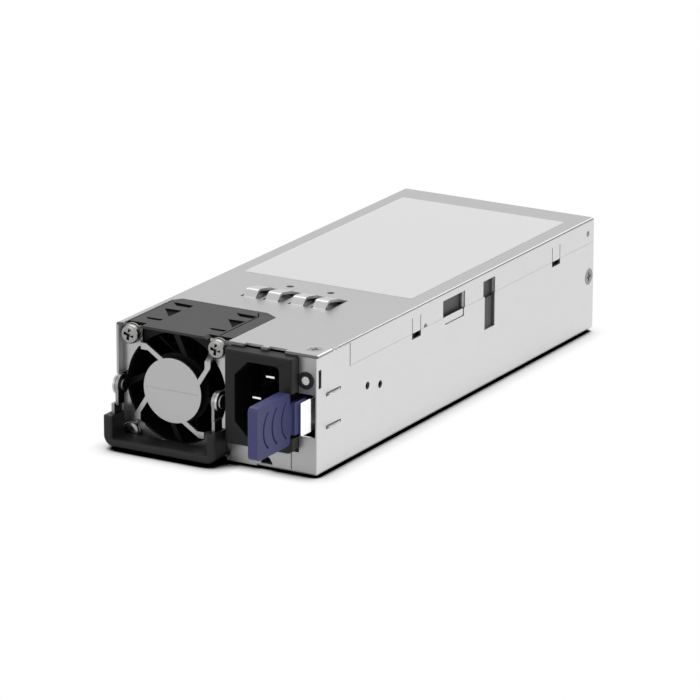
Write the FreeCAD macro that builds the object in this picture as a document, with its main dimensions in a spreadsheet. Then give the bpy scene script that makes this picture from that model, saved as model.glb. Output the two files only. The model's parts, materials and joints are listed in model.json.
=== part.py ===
import FreeCAD, Part
import Sketcher
import math
import os
import re

# Hot swap server power supply, 73.5 x 39 x 185 mm case.
# Millimetres. X runs to the right seen from the front, Y to the rear and Z up.
# Lengths along Y in this file are counted from the case's front plane. Each sub-part is then
# placed half a case length forward, so that the origin is the middle of the case's underside.

SIZES = (
    # case
    ("caseWidth", 73.5, "outside width of the case"),
    ("caseHeight", 39.0, "outside height of the case"),
    ("caseLength", 185.0, "front plane to rear plane"),
    ("sheet", 0.8, "steel sheet of the case"),
    ("lidGap", 0.05, "gap between the cover and the tray"),
    ("lidDrop", 8.3, "depth of the cover's side flanges"),
    ("lidFront", 20.4, "front end of the cover's side flanges"),
    ("lipDrop", 1.1, "depth of the cover's lip over the inlet"),
    ("lipRound", 0.7, "rounding of the cover's front edge"),
    ("slotDeep", 1.9, "slots in the cover's front edge, front to back"),
    ("columnWide", 6.65, "front column from the right side of the case to its left edge"),
    ("footWide", 9.25, "foot of the front column from the right side to its left edge"),
    ("stripHigh", 6.8, "height of the front strip under the inlet"),
    ("latchLow", 12.3, "bottom of the latch opening"),
    ("latchDown", 12.8, "top of the latch opening below the top of the case"),
    ("sideHead", 2.8, "head radius of the countersunk side screws"),
    ("topHead", 2.6, "head radius of the countersunk top screw"),
    ("sideScrewZ", 19.0, "side screws above the underside"),
    ("sideScrewIn", 3.2, "side screws in front of the rear plane"),
    ("topScrewIn", 4.75, "top screw from the right side"),
    ("topScrewY", 6.5, "top screw behind the front plane"),
    ("bridgeRise", 2.3, "height of the bridge louvres above the cover"),
    ("bridgeFront", 44.6, "front end of the bridge louvres"),
    ("bridgeLong", 12.6, "length of the bridge louvres"),
    ("bridgeWide", 4.6, "width of a bridge louvre"),
    ("bridgeSlit", 1.2, "slit beside a bridge louvre"),
    ("ventRadius", 2.8, "corner radius of the rear panel's hexagon vents"),
    ("ventPitch", 6.1, "spacing of the hexagon vents"),
    # fan
    ("fanGap", 1.25, "gap between the fan and the left wall"),
    ("besideFan", 36.3, "width of the case that the fan leaves to the inlet and the latch"),
    ("fanDepth", 28.0, "fan frame front to back"),
    ("fanRim", 0.6, "thinnest wall of the fan's air duct"),
    ("fanHoleIn", 2.6, "fan's corner holes from the frame's sides"),
    ("fanHole", 1.75, "radius of the fan's corner holes"),
    ("motorRadius", 11.4, "radius of the fan's motor plate"),
    ("hubRadius", 9.8, "radius of the rotor's hub"),
    ("tipGap", 1.1, "gap between the blade tips and the air duct"),
    ("bladeCount", 7, "rotor blades"),
    ("fanTube", 3.0, "radius of the fan's bearing tube"),
    ("shaftRadius", 1.0, "radius of the fan's shaft"),
    ("runGap", 0.06, "radial clearance of a pin or shaft that turns"),
    # finger guard
    ("guardOver", 1.25, "guard plate beyond the sides of the fan"),
    ("guardFront", 2.6, "front face of the guard plate"),
    ("guardSheet", 0.8, "steel sheet of the guard"),
    ("guardRim", 0.3, "opening of the guard inside the top and bottom of the fan"),
    ("cornerTab", 3.4, "guard's upper corners past their screws"),
    ("guardArm", 2.1, "width of the guard's arms"),
    ("armIn", 5.3, "guard's arms inside the edge of its opening"),
    ("discRadius", 10.6, "radius of the guard's middle disc"),
    ("screwHead", 3.15, "radius of the fan screws' heads"),
    ("washerRadius", 3.4, "radius of the flat washers"),
    ("washerThick", 0.5, "thickness of the washers"),
    # pull handle
    ("pivotY", -1.6, "handle pivot, along Y"),
    ("pivotDrop", 0.1, "handle pivot below the fan axis"),
    ("eyeRadius", 3.4, "radius of the round ends at the pivot"),
    ("earIn", 0.65, "outer face of the guard's ears inside the guard's side"),
    ("strapThick", 1.1, "thickness of the handle's steel strap"),
    ("strapJog", 0.8, "outward jog of the strap below its eyes"),
    ("jogDrop", 6.2, "jog of the strap below the pivot"),
    ("rivetRadius", 1.2, "shank radius of the pivot rivets"),
    ("rivetHead", 2.25, "head radius of the pivot rivets"),
    ("sideGap", 0.1, "clearance beside the strap at the pivot"),
    ("gripOver", 0.8, "grip beyond the sides of the guard"),
    ("gripLeg", 3.3, "thickness of the grip's legs"),
    ("gripBar", 2.7, "thickness of the grip's crossbar"),
    ("gripTop", 10.5, "top of the grip's legs"),
    ("gripLow", 0.4, "underside of the grip"),
    ("gripFront", -8.6, "front of the grip"),
    ("gripRear", -0.6, "rear of the grip"),
    # power inlet
    ("inletIn", 19.55, "middle of the inlet's socket from the right side"),
    ("socketWide", 16.0, "width of the inlet's socket"),
    ("socketTall", 24.8, "height of the inlet's socket"),
    ("socketChamfer", 4.8, "chamfer of the socket's two fan side corners"),
    ("socketRound", 1.8, "rounding of the socket's two latch side corners"),
    ("socketFloor", 12.5, "floor of the socket behind the front plane"),
    ("socketWall", 1.0, "wall round the socket"),
    ("bezelProud", 3.9, "inlet bezel in front of the front plane"),
    ("bezelRear", 1.4, "rear of the inlet bezel behind the front plane"),
    ("bezelRound", 0.9, "rounding of the bezel's front edges"),
    ("bezelGap", 1.55, "gap between the guard plate and the bezel"),
    ("frontGap", 0.1, "gap between the bezel and the sheet above and below it"),
    ("bladeWide", 4.0, "width of a contact blade"),
    ("bladeThick", 2.0, "thickness of a contact blade"),
    ("bladeTaper", 2.2, "tapered tip of a contact blade"),
    ("poleTip", 0.9, "tips of the line and neutral blades behind the front plane"),
    ("earthTip", -0.6, "tip of the earth blade"),
    ("poleSpace", 7.0, "line or neutral blade above or below the socket's middle"),
    ("poleShift", 2.0, "line and neutral blades to the latch's side of the socket's middle"),
    ("earthShift", 2.0, "earth blade to the fan's side of the socket's middle"),
    # latch
    ("tabIn", 7.0, "gripped face of the latch tab from the right side"),
    ("tabThick", 3.4, "thickness of the latch tab"),
    ("tabLow", 10.4, "bottom of the latch tab"),
    ("tabOver", 1.4, "top of the latch tab above the latch opening"),
    ("tabFront", -24.6, "front end of the latch tab"),
    ("tabRear", -4.6, "rear end of the latch tab's thumb plate"),
    ("grooveRadius", 7.25, "radius of the curved grip grooves"),
    ("grooveHalf", 5.75, "half height of the grip grooves"),
    ("grooveWide", 0.75, "width of the grip grooves"),
    ("webIn", 5.25, "outer face of the latch spring's web from the right side"),
    ("latchSheet", 0.6, "sheet of the latch spring"),
    ("webFront", -0.3, "front end of the latch spring"),
    ("webLow", 14.2, "bottom of the latch spring"),
    ("webDown", 0.7, "top of the latch spring below the top of its opening"),
    ("padLow", 12.45, "bottom of the spring's front end"),
    ("padDown", 3.1, "top of the spring's front end below the top of its opening"),
    ("flexY", 46.0, "root that the latch spring bends about"),
    ("toothY", 7.8, "crest of the latch teeth"),
    ("toothProud", 1.6, "latch teeth outside the wall"),
    ("slitFront", 5.2, "front end of the wall slits for the teeth"),
    ("slitRear", 14.4, "rear end of the wall slits"),
    ("slitGap", 0.25, "gap above and below a latch tooth"),
    # indicator
    ("ledIn", 4.05, "indicator from the right side"),
    ("ledDown", 8.4, "indicator below the top of the case"),
    ("ledRing", 2.8, "radius of the indicator's holder"),
    ("ledBarrel", 2.5, "radius of the holder's barrel"),
    ("ledLens", 1.35, "radius of the light pipe"),
    # boards and parts on them
    ("boardLow", 5.0, "underside of the main board"),
    ("board", 1.6, "thickness of the circuit boards"),
    ("boardGap", 1.2, "gap between the main board and the liner"),
    ("boardFront", 38.0, "front edge of the main board"),
    ("edgeHalf", 29.0, "half width of the card edge"),
    ("edgeReach", 9.5, "card edge behind the rear plane"),
    ("fingerCount", 24, "contacts on each face of the card edge"),
    ("fingerWide", 1.5, "width of a contact of the card edge"),
    ("linerSheet", 0.4, "insulating liner"),
    ("linerGap", 0.55, "gap between the liner and the rear panel's ears"),
    ("bulkRadius", 12.4, "radius of the bulk capacitors"),
    ("bulkFront", 98.0, "front end of the bulk capacitors"),
    ("seat", 0.02, "clearance of a part that stands on a board"),
)

# Places and sizes that follow from the ones above.
PLACES = {
    "sideFace": "caseWidth / 2",
    "sideInner": "sideFace - sheet",
    "lidUnder": "caseHeight - sheet",
    "trayTop": "lidUnder - lidGap",
    "lipLow": "caseHeight - lipDrop",
    "columnEdge": "sideFace - columnWide",
    "footEdge": "sideFace - footWide",
    "latchHigh": "caseHeight - latchDown",
    "topScrewX": "sideFace - topScrewIn",
    "fanSide": "min(lidUnder - sheet - 4 * lidGap; caseWidth - besideFan)",
    "fanX": "fanSide / 2 + fanGap - sideInner",
    "fanZ": "caseHeight / 2",
    "fanFront": "guardFront + guardSheet + lidGap",
    "fanRear": "fanFront + fanDepth",
    "fanBore": "fanSide / 2 - fanRim",
    "fanPitch": "fanSide - 2 * fanHoleIn",
    "bladeReach": "fanBore - tipGap",
    "shroudLeft": "fanX - fanSide / 2 + 6 * lidGap",
    "shroudRight": "fanX + fanSide / 2 + 1.7",
    "shroudRear": "fanRear + 0.95",
    "guardHalf": "fanSide / 2 + guardOver",
    "guardHole": "fanSide / 2 - guardRim",
    "guardTab": "fanPitch / 2 - cornerTab",
    "armRise": "guardHole - armIn",
    "pivotZ": "fanZ - pivotDrop",
    "earFace": "guardHalf - earIn",
    "gripHalf": "guardHalf + gripOver",
    "inletX": "sideFace - inletIn",
    "bezelLow": "stripHigh + frontGap",
    "bezelTop": "lipLow - frontGap",
    "bezelLeft": "fanX + guardHalf + bezelGap",
    "bezelRight": "columnEdge - 3 * frontGap",
    "inletZ": "(bezelLow + bezelTop) / 2",
    "inletRear": "socketFloor + 3",
    "tabFace": "sideFace - tabIn",
    "tabBack": "tabFace - tabThick",
    "tabHigh": "latchHigh + tabOver",
    "webFace": "sideFace - webIn",
    "webHigh": "latchHigh - webDown",
    "padHigh": "latchHigh - padDown",
    "ledX": "sideFace - ledIn",
    "ledZ": "caseHeight - ledDown",
    "linerHalf": "sideInner - sheet - linerGap",
    "boardHalf": "linerHalf - linerSheet - boardGap",
    "boardTop": "boardLow + board + seat",
    "leftEdge": "-boardHalf",
}


doc = FreeCAD.newDocument("ServerPowerSupply")
sheet = doc.addObject("Spreadsheet::Sheet", "Sizes")
for row, (alias, value, note) in enumerate(SIZES, start=1):
    sheet.set("A%d" % row, alias)
    sheet.set("B%d" % row, str(value))
    sheet.setAlias("B%d" % row, alias)
    sheet.set("C%d" % row, note)
doc.recompute()

ALIASES = {entry[0] for entry in SIZES}
nodes = []


def bound(text):
    """The expression with its names turned into cells of the sheet."""
    def cell(match):
        name = match.group(0)
        if name in PLACES:
            return "(" + bound(PLACES[name]) + ")"
        return "Sizes." + name if name in ALIASES else name
    return re.sub(r"[A-Za-z]\w*", cell, text)


def value_of(text):
    """An expression's value now, for choosing edges, counts and arcs."""
    return float(sheet.evalExpression(bound(text)))


def bind(feature, prop, text):
    feature.setExpression(prop, bound(text))


def node(feature, name):
    """Names a finished sub-part and places it in the frame of the whole."""
    feature.Label = name
    bind(feature, "Placement.Base.y", "-caseLength / 2")
    nodes.append(feature)
    return feature



# ---- PartDesign helpers ----


def new_body(name):
    return node(doc.addObject("PartDesign::Body", name + "_body"), name)


def sketch_on(body, plane, at, across="0", up="0"):
    """A sketch parallel to an origin plane, at a place along that plane's axis."""
    sketch = body.newObject("Sketcher::SketchObject", "Sketch")
    origin_plane = [f for f in body.Origin.OriginFeatures if f.Role == plane + "_Plane"][0]
    sketch.AttachmentSupport = [(origin_plane, "")]
    sketch.MapMode = "FlatFace"
    depth = "-(" + at + ")" if plane == "XZ" else at
    for letter, text in zip("xyz", (across, up, depth)):
        bind(sketch, "AttachmentOffset.Base." + letter, text)
    return sketch


def fix_point(sketch, geometry, point, x, y):
    for kind, text in (("DistanceX", x), ("DistanceY", y)):
        index = sketch.addConstraint(Sketcher.Constraint(kind, -1, 1, geometry, point, value_of(text)))
        bind(sketch, "Constraints[%d]" % index, text)


def draw_polygon(sketch, points):
    """A closed outline of straight lines through points given as expressions."""
    first = sketch.GeometryCount
    count = len(points)
    spots = [FreeCAD.Vector(i, i * i, 0) for i in range(count)]
    for i in range(count):
        sketch.addGeometry(Part.LineSegment(spots[i], spots[(i + 1) % count]), False)
    for i in range(count):
        sketch.addConstraint(Sketcher.Constraint("Coincident", first + i, 2, first + (i + 1) % count, 1))
    for i, (x, y) in enumerate(points):
        fix_point(sketch, first + i, 1, x, y)


def draw_circle(sketch, x, y, radius):
    index = sketch.addGeometry(Part.Circle(FreeCAD.Vector(), FreeCAD.Vector(0, 0, 1), 1.0), False)
    fix_point(sketch, index, 3, x, y)
    constraint = sketch.addConstraint(Sketcher.Constraint("Radius", index, 1.0))
    bind(sketch, "Constraints[%d]" % constraint, radius)


def draw_bow(sketch, x, y):
    """A bent slot whose arcs bulge towards -x: its middle's left edge is at the point."""
    radius, half, wide = value_of("grooveRadius"), value_of("grooveHalf"), value_of("grooveWide")
    left, level = value_of(x), value_of(y)
    swing = math.asin(half / radius)
    depth = "grooveRadius - sqrt(grooveRadius ^ 2 - grooveHalf ^ 2)"
    first = sketch.GeometryCount
    for shift in (0, wide):
        circle = Part.Circle(FreeCAD.Vector(left + radius + shift, level, 0), FreeCAD.Vector(0, 0, 1), radius)
        sketch.addGeometry(Part.ArcOfCircle(circle, math.pi - swing, math.pi + swing), False)
    end = left + radius - math.sqrt(radius ** 2 - half ** 2)
    for side in (half, -half):
        corner = FreeCAD.Vector(end, level + side, 0)
        sketch.addGeometry(Part.LineSegment(corner, corner + FreeCAD.Vector(wide, 0, 0)), False)
    for line, point in ((first + 2, 1), (first + 3, 2)):
        sketch.addConstraint(Sketcher.Constraint("Coincident", first, point, line, 1))
        sketch.addConstraint(Sketcher.Constraint("Coincident", first + 1, point, line, 2))
    for geometry, shift in ((first, "0"), (first + 1, "grooveWide")):
        for point, side in ((1, "+"), (2, "-")):
            fix_point(sketch, geometry, point, x + " + " + depth + " + " + shift, y + side + "grooveHalf")
        index = sketch.addConstraint(Sketcher.Constraint("Radius", geometry, radius))
        bind(sketch, "Constraints[%d]" % index, "grooveRadius")


def rect(x0, y0, x1, y1):
    return [(x0, y0), (x1, y0), (x1, y1), (x0, y1)]


def disc(x, y, radius):
    return ("circle", x, y, radius)


def bow(x, y):
    return ("bow", x, y)


def draw(sketch, loops):
    for loop in loops:
        if loop[0] == "circle":
            draw_circle(sketch, *loop[1:])
        elif loop[0] == "bow":
            draw_bow(sketch, *loop[1:])
        else:
            draw_polygon(sketch, loop)


def extrude(body, kind, sketch, plane, low, high):
    """Pads or pockets a sketch from low to high along the plane's axis."""
    feature = body.newObject("PartDesign::" + kind, kind)
    feature.Profile = sketch
    bind(feature, "Length", "(" + high + ") - (" + low + ")")
    feature.Reversed = (plane != "XZ") == (kind == "Pocket")
    return feature


def pad(body, plane, low, high, *loops):
    sketch = sketch_on(body, plane, low)
    draw(sketch, loops)
    return extrude(body, "Pad", sketch, plane, low, high)


def pocket(body, plane, low, high, *loops):
    doc.recompute()
    before = body.Shape.Volume
    sketch = sketch_on(body, plane, low)
    draw(sketch, loops)
    feature = extrude(body, "Pocket", sketch, plane, low, high)
    doc.recompute()
    if body.Shape.Volume > before - 1e-6:
        raise RuntimeError("a pocket of %s cuts nothing" % body.Label)
    return feature


def polar(body, originals, sketch, count):
    pattern = body.newObject("PartDesign::PolarPattern", "PolarPattern")
    pattern.Originals = originals
    pattern.Axis = (sketch, ["N_Axis"])
    pattern.Angle = 360
    bind(pattern, "Occurrences", count)
    body.Tip = pattern
    return pattern


def row_of(body, originals, sketch, count, length):
    pattern = body.newObject("PartDesign::LinearPattern", "LinearPattern")
    pattern.Originals = originals
    pattern.Direction = (sketch, ["H_Axis"])
    bind(pattern, "Length", length)
    bind(pattern, "Occurrences", count)
    body.Tip = pattern
    return pattern


def mirrored(body, originals):
    """The same features on the other side of the YZ plane."""
    pattern = body.newObject("PartDesign::Mirrored", "Mirrored")
    pattern.Originals = originals
    pattern.MirrorPlane = ([f for f in body.Origin.OriginFeatures if f.Role == "YZ_Plane"][0], [""])
    body.Tip = pattern
    return pattern


def soften(body, kind, text, test):
    """Fillets or chamfers the edges that pass the test."""
    doc.recompute()
    base = body.Tip
    names = ["Edge%d" % i for i, edge in enumerate(base.Shape.Edges, start=1) if test(edge)]
    if not names:
        raise RuntimeError("no edge of %s to soften" % body.Label)
    feature = body.newObject("PartDesign::" + kind, kind)
    feature.Base = (base, names)
    bind(feature, "Radius" if kind == "Fillet" else "Size", text)
    return feature


def is_line(edge, axis):
    """Whether an edge is straight and runs along the axis."""
    return edge.Curve.TypeId == "Part::GeomLine" and abs(edge.Curve.Direction["xyz".index(axis)]) > 0.9


def middle(edge):
    return edge.valueAt((edge.FirstParameter + edge.LastParameter) / 2)


def is_rim(edge, radius, axis, place):
    """Whether an edge is a circle of the radius round the axis at the place along it."""
    if edge.Curve.TypeId != "Part::GeomCircle" or not near(edge.Curve.Radius, radius):
        return False
    return near(edge.Curve.Center["xyz".index(axis)], place)


def near(a, b):
    return abs(a - b) < 0.02


# ---- Part helpers ----


def put(feature, x, y, z):
    for letter, text in zip("xyz", (x, y, z)):
        bind(feature, "Placement.Base." + letter, text)
    return feature


def box(x0, y0, z0, x1, y1, z1):
    feature = doc.addObject("Part::Box", "Box")
    bind(feature, "Length", "(" + x1 + ") - (" + x0 + ")")
    bind(feature, "Width", "(" + y1 + ") - (" + y0 + ")")
    bind(feature, "Height", "(" + z1 + ") - (" + z0 + ")")
    return put(feature, x0, y0, z0)


AXIS_TURN = {
    "X": FreeCAD.Rotation(FreeCAD.Vector(0, 1, 0), 90),
    "Y": FreeCAD.Rotation(FreeCAD.Vector(1, 0, 0), -90),
    "Z": FreeCAD.Rotation(),
}


def rod(axis, radius, x, y, z, length):
    """A cylinder that starts at the point and runs along +axis."""
    feature = doc.addObject("Part::Cylinder", "Cylinder")
    feature.Placement.Rotation = AXIS_TURN[axis]
    bind(feature, "Radius", radius)
    bind(feature, "Height", length)
    return put(feature, x, y, z)


def cone(axis, radius, tip_radius, x, y, z, length):
    feature = doc.addObject("Part::Cone", "Cone")
    feature.Placement.Rotation = AXIS_TURN[axis]
    bind(feature, "Radius1", radius)
    bind(feature, "Radius2", tip_radius)
    bind(feature, "Height", length)
    return put(feature, x, y, z)


def hex_rod(radius, x, y, z, length):
    """An upright six sided rod, from its corner radius and the middle of its foot."""
    feature = doc.addObject("Part::Prism", "Prism")
    feature.Polygon = 6
    bind(feature, "Circumradius", radius)
    bind(feature, "Height", length)
    return put(feature, x, y, z)


def fuse(*parts):
    feature = doc.addObject("Part::MultiFuse", "Fusion")
    feature.Shapes = list(parts)
    return feature


def group(*parts):
    """Separate solids that share one node."""
    feature = doc.addObject("Part::Compound", "Group")
    feature.Links = list(parts)
    return feature


def cut(base, *tools):
    feature = doc.addObject("Part::Cut", "Cut")
    feature.Base = base
    feature.Tool = tools[0] if len(tools) == 1 else group(*tools)
    return feature


def cross_recess(axis, x, y, z, reach, depth):
    """The crossed slots of a screw's recess, cut along +axis from the point."""
    half = "(" + reach + ")"
    thin = "0.28 * (" + reach + ")"
    spans = {
        "X": ((depth, half, thin), (depth, thin, half)),
        "Y": ((half, depth, thin), (thin, depth, half)),
        "Z": ((half, thin, depth), (thin, half, depth)),
    }[axis]
    slots = []
    for span in spans:
        low = [c + " - " + s + " / 2" for c, s in zip((x, y, z), span)]
        high = [c + " + " + s + " / 2" for c, s in zip((x, y, z), span)]
        index = "XYZ".index(axis)
        low[index] = (x, y, z)[index]
        high[index] = (x, y, z)[index] + " + " + depth
        slots.append(box(*low, *high))
    return slots


# ---- Case ----


def u_profile(wall):
    """Outline of a folded U sheet from the outline of its right wall, mirrored to the left."""
    return wall + [("-(" + x + ")", z) for x, z in reversed(wall)]


# Cut-outs of the side walls as (front, low, rear, high). The first set is in both walls.
WALL_WINDOWS = (
    ("59.7", "caseHeight - 10.3", "65.4", "caseHeight - 4"),
    ("caseLength - 30.1", "caseHeight - 10.1", "caseLength - 24.4", "caseHeight - 4"))
RIGHT_WINDOWS = (
    ("108", "caseHeight - 19.7", "114.8", "caseHeight - 3"),
    ("81.5", "caseHeight - 11", "94", "caseHeight - 3"),
    ("0.7", "ledZ - 2.4", "2.4", "ledZ + 3.6"))


def chassis_tray():
    body = new_body("chassis_tray")
    fold = "caseHeight - lidDrop - lidGap"
    joint = "lidFront - 0.4"
    straight = [("sideFace", "0"), ("sideFace", "trayTop"), ("sideInner", "trayTop"), ("sideInner", "sheet")]
    pad(body, "XZ", "0", joint, u_profile(straight))
    behind = "sideInner - lidGap"
    joggled = [("sideFace", "0"), ("sideFace", fold), (behind, fold), (behind, "trayTop"),
               (behind + " - sheet", "trayTop"), (behind + " - sheet", fold + " - sheet"),
               ("sideInner", fold + " - sheet"), ("sideInner", "sheet")]
    pad(body, "XZ", joint, "caseLength", u_profile(joggled))
    bay = "fanX + guardHalf + 0.1"
    pocket(body, "XY", "-0.1", "sheet + 0.01", rect("-(sideInner)", "-0.1", bay, "guardFront + lidGap"))
    front_sheet(body)
    pad(body, "XY", "trayTop - sheet", "trayTop", rect("columnEdge", "0.4", "sideInner + 0.1", "10"))
    pocket(body, "XY", "trayTop - sheet - 0.1", "trayTop + 0.1",
           disc("topScrewX", "topScrewY", "topHead - sheet"))
    right_low, right_high = "sideInner - sheet - 0.2", "sideFace + 0.1"
    pocket(body, "YZ", right_low, right_high,
           rect("slitFront", "webHigh - latchSheet - slitGap", "slitRear", "webHigh + slitGap"),
           rect("slitFront", "webLow - slitGap", "slitRear", "webLow + latchSheet + slitGap"),
           disc("31.2", "caseHeight / 2 + 1.7", "1.25"),
           disc("39.2", "caseHeight / 2", "1.25"),
           *[rect(*window) for window in RIGHT_WINDOWS])
    screw_hole = disc("caseLength - sideScrewIn", "sideScrewZ", "sideHead - sheet + 0.1")
    for low, high in ((right_low, right_high), ("-(" + right_high + ")", "-(" + right_low + ")")):
        pocket(body, "YZ", low, high, screw_hole, *[rect(*window) for window in WALL_WINDOWS])
    side, hole = value_of("sideFace"), value_of("sideHead - sheet + 0.1")
    soften(body, "Chamfer", "sheet - 0.05", lambda e: is_rim(e, hole, "x", side) or is_rim(e, hole, "x", -side))


def front_sheet(body):
    """The tray's front: a low strip under the inlet and a column beside it, round the latch opening."""
    pad(body, "XZ", "0", "sheet", rect("bezelLeft", "0", "footEdge - 0.3", "stripHigh"))
    pad(body, "XZ", "0", "sheet", [
        ("footEdge", "0"), ("sideInner + 0.1", "0"), ("sideInner + 0.1", "trayTop"), ("columnEdge", "trayTop"),
        ("columnEdge", "latchHigh"), ("sideInner", "latchHigh"), ("sideInner", "latchLow"),
        ("columnEdge", "latchLow"), ("columnEdge", "stripHigh"), ("footEdge", "stripHigh")])
    pocket(body, "XZ", "-0.1", "sheet + 0.1", disc("ledX", "ledZ", "ledBarrel + 0.05"))
    left, right = "inletX - 2.4", "inletX + 3.3"
    pocket(body, "XZ", "-0.1", "sheet + 0.1", [
        (left, "-0.1"), (right, "-0.1"), (right, "1.6"), (right + " - 0.9", "3.1"), (right + " - 1.9", "3.6"),
        (left + " + 2.6", "3.4"), (left + " + 1.6", "2.2"), (left + " + 1.4", "0.8"), (left, "0.8")])
    side = value_of("sideFace")
    soften(body, "Fillet", "1.2 * sheet",
           lambda e: is_line(e, "y") and near(middle(e).z, 0) and near(abs(middle(e).x), side))
    soften(body, "Fillet", "0.9 * sheet",
           lambda e: is_line(e, "z") and near(middle(e).y, 0) and near(middle(e).x, side))


def top_cover():
    body = new_body("top_cover")
    left, right, rear = "shroudLeft - 0.15", "shroudRight + 0.15", "shroudRear + 0.15"
    pad(body, "XY", "lidUnder", "caseHeight", [
        ("-sideFace", "0"), (left, "0"), (left, rear + " - 3"), (left + " + 2.2", rear),
        (right + " - 5", rear), (right, rear + " - 3.1"), (right, "0"), ("sideFace", "0"),
        ("sideFace", "caseLength"), ("-sideFace", "caseLength")])
    pad(body, "XZ", "0", "sheet", rect("bezelLeft", "lipLow", "columnEdge - 0.1", "lidUnder + 0.1"))
    top = value_of("caseHeight")
    soften(body, "Fillet", "lipRound",
           lambda e: is_line(e, "x") and near(middle(e).y, 0) and near(middle(e).z, top) and middle(e).x > 0)
    inner, outer = "sideInner - 0.1", "sideFace + 0.1"
    flange = pad(body, "YZ", "sideInner", "sideFace",
                 rect("lidFront", "caseHeight - lidDrop", "caseLength", "lidUnder + 0.1"))
    slits = []
    for window, rise in zip(WALL_WINDOWS, ("3.1", "3.3")):
        for front in (window[0], window[2] + " - 0.35"):
            slits.append(rect(front, "caseHeight - lidDrop - 0.1", front + " + 0.35", "caseHeight - " + rise))
    slits.append(disc("caseLength - 4.3", "caseHeight - 4.7", "1"))
    mirrored(body, [flange, pocket(body, "YZ", inner, outer, *slits)])
    low = "caseHeight - lidDrop - 0.1"
    pocket(body, "YZ", inner, outer,
           rect("79.8", low, "94.6", "caseHeight - 2.7"), rect("107", low, "115", "caseHeight - 3"),
           disc("68.4", "caseHeight - lidDrop", "1.2"))
    pocket(body, "XY", "lidUnder - 0.1", "caseHeight + 0.1",
           *[rect(x, "bridgeFront", x + " + bridgeWide + 2 * bridgeSlit", "bridgeFront + bridgeLong")
             for x in BRIDGES],
           disc("-9.6", "61.8", "1.2"), disc("5.4", "62", "1.2"),
           disc("topScrewX", "topScrewY", "topHead - sheet + 0.1"), disc("sideFace + 0.2", "11.2", "1.3"))
    pocket(body, "XY", "lidUnder - 0.3", "caseHeight + 0.1",
           rect("inletX - 7.1", "-0.1", "inletX - 0.8", "slotDeep"),
           rect("inletX + 1.5", "-0.1", "inletX + 7.8", "slotDeep + 0.3"))
    rim = value_of("topHead - sheet + 0.1")
    soften(body, "Chamfer", "sheet - 0.05", lambda e: is_rim(e, rim, "z", top))
    for x in BRIDGES:
        pad(body, "YZ", x + " + bridgeSlit", x + " + bridgeSlit + bridgeWide", bridge_profile())
    crest = value_of("caseHeight + bridgeRise")
    under = value_of("lidUnder + bridgeRise")
    soften(body, "Fillet", "1.6", lambda e: is_line(e, "x") and near(middle(e).z, crest))
    soften(body, "Fillet", "0.9", lambda e: is_line(e, "x") and near(middle(e).z, under))


# Left ends of the openings under the bridge louvres.
BRIDGES = ("-18.1", "-9.9", "-0.6", "7.6")


def bridge_profile():
    """Side view of a strip of the cover that is pushed up steeply and falls slowly to the rear."""
    front, rear = "bridgeFront", "bridgeFront + bridgeLong"
    steep, crest, slope = "2.1", "1.6", "5.2"
    return [
        (front + " - 0.05", "lidUnder"), (front + " + 0.5", "lidUnder"),
        (front + " + " + steep + " + 0.5", "lidUnder + bridgeRise"),
        (front + " + " + steep + " + " + crest, "lidUnder + bridgeRise"),
        (rear + " - " + slope + " + " + crest, "lidUnder + 0.55 * bridgeRise"),
        (rear + " - 0.4", "lidUnder"), (rear + " + 0.05", "lidUnder"), (rear + " + 0.05", "caseHeight"),
        (rear + " - 0.2", "caseHeight"), (rear + " - " + slope + " + " + crest, "caseHeight + 0.62 * bridgeRise"),
        (front + " + " + steep + " + " + crest, "caseHeight + bridgeRise"),
        (front + " + " + steep, "caseHeight + bridgeRise"), (front + " - 0.05", "caseHeight")]


def hexagon(x, z, radius):
    side = "0.866 * (" + radius + ")"
    return [
        (x + " - " + side, z + " - (" + radius + ") / 2"), (x, z + " - " + radius),
        (x + " + " + side, z + " - (" + radius + ") / 2"), (x + " + " + side, z + " + (" + radius + ") / 2"),
        (x, z + " + " + radius), (x + " - " + side, z + " + (" + radius + ") / 2")]


def rear_panel():
    """Rear wall with its two ears, the slot for the card edge and a honeycomb of vents."""
    body = new_body("rear_panel")
    half = "sideInner - sheet - 2 * lidGap"
    front, rear = "caseLength - sheet", "caseLength"
    low, high = "sheet + lidGap", "trayTop"
    pad(body, "XZ", front, rear, rect("-(" + half + ")", low, half, high))
    ear = pad(body, "YZ", half + " - sheet", half, rect("caseLength - 9", "11", front + " + 0.1", "27"))
    ear_hole = pocket(body, "YZ", half + " - sheet - 0.1", half + " + 0.1",
                      disc("caseLength - sideScrewIn", "sideScrewZ", "1.35"))
    mirrored(body, [ear, ear_hole])
    pocket(body, "XZ", front + " - 0.1", rear + " + 0.1",
           rect("-edgeHalf - 0.5", "boardLow - 1", "edgeHalf + 0.5", "boardLow + board + 1"))
    step = "0.866 * ventPitch"
    lowest = "boardLow + board + 2.2 + ventRadius"
    rows = 1 + int(value_of("(trayTop - 1 - ventRadius - (" + lowest + ")) / (" + step + ")"))
    beside = int(value_of("(" + half + " - 1 - ventRadius) / ventPitch"))
    for line in range(rows):
        shift = str(line % 2) + " * ventPitch / 2 - " + str(beside) + " * ventPitch"
        copies = 2 * beside + 1 - line % 2
        hole = pocket(body, "XZ", front + " - 0.1", rear + " + 0.1",
                      hexagon(shift, lowest + " + " + str(line) + " * " + step, "ventRadius"))
        row_of(body, [hole], hole.Profile[0], str(copies), str(copies - 1) + " * ventPitch")


def screw(axis, x, y, z, length, radius, head):
    """A countersunk screw whose head is flush at the point and whose shank runs along +axis."""
    shank = rod(axis, radius, x, y, z, length)
    sink = cone(axis, head, radius, x, y, z, head + " - " + radius)
    return cut(fuse(shank, sink), *cross_recess(axis, x, y, z, "1.1 * " + head, "0.5"))


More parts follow.
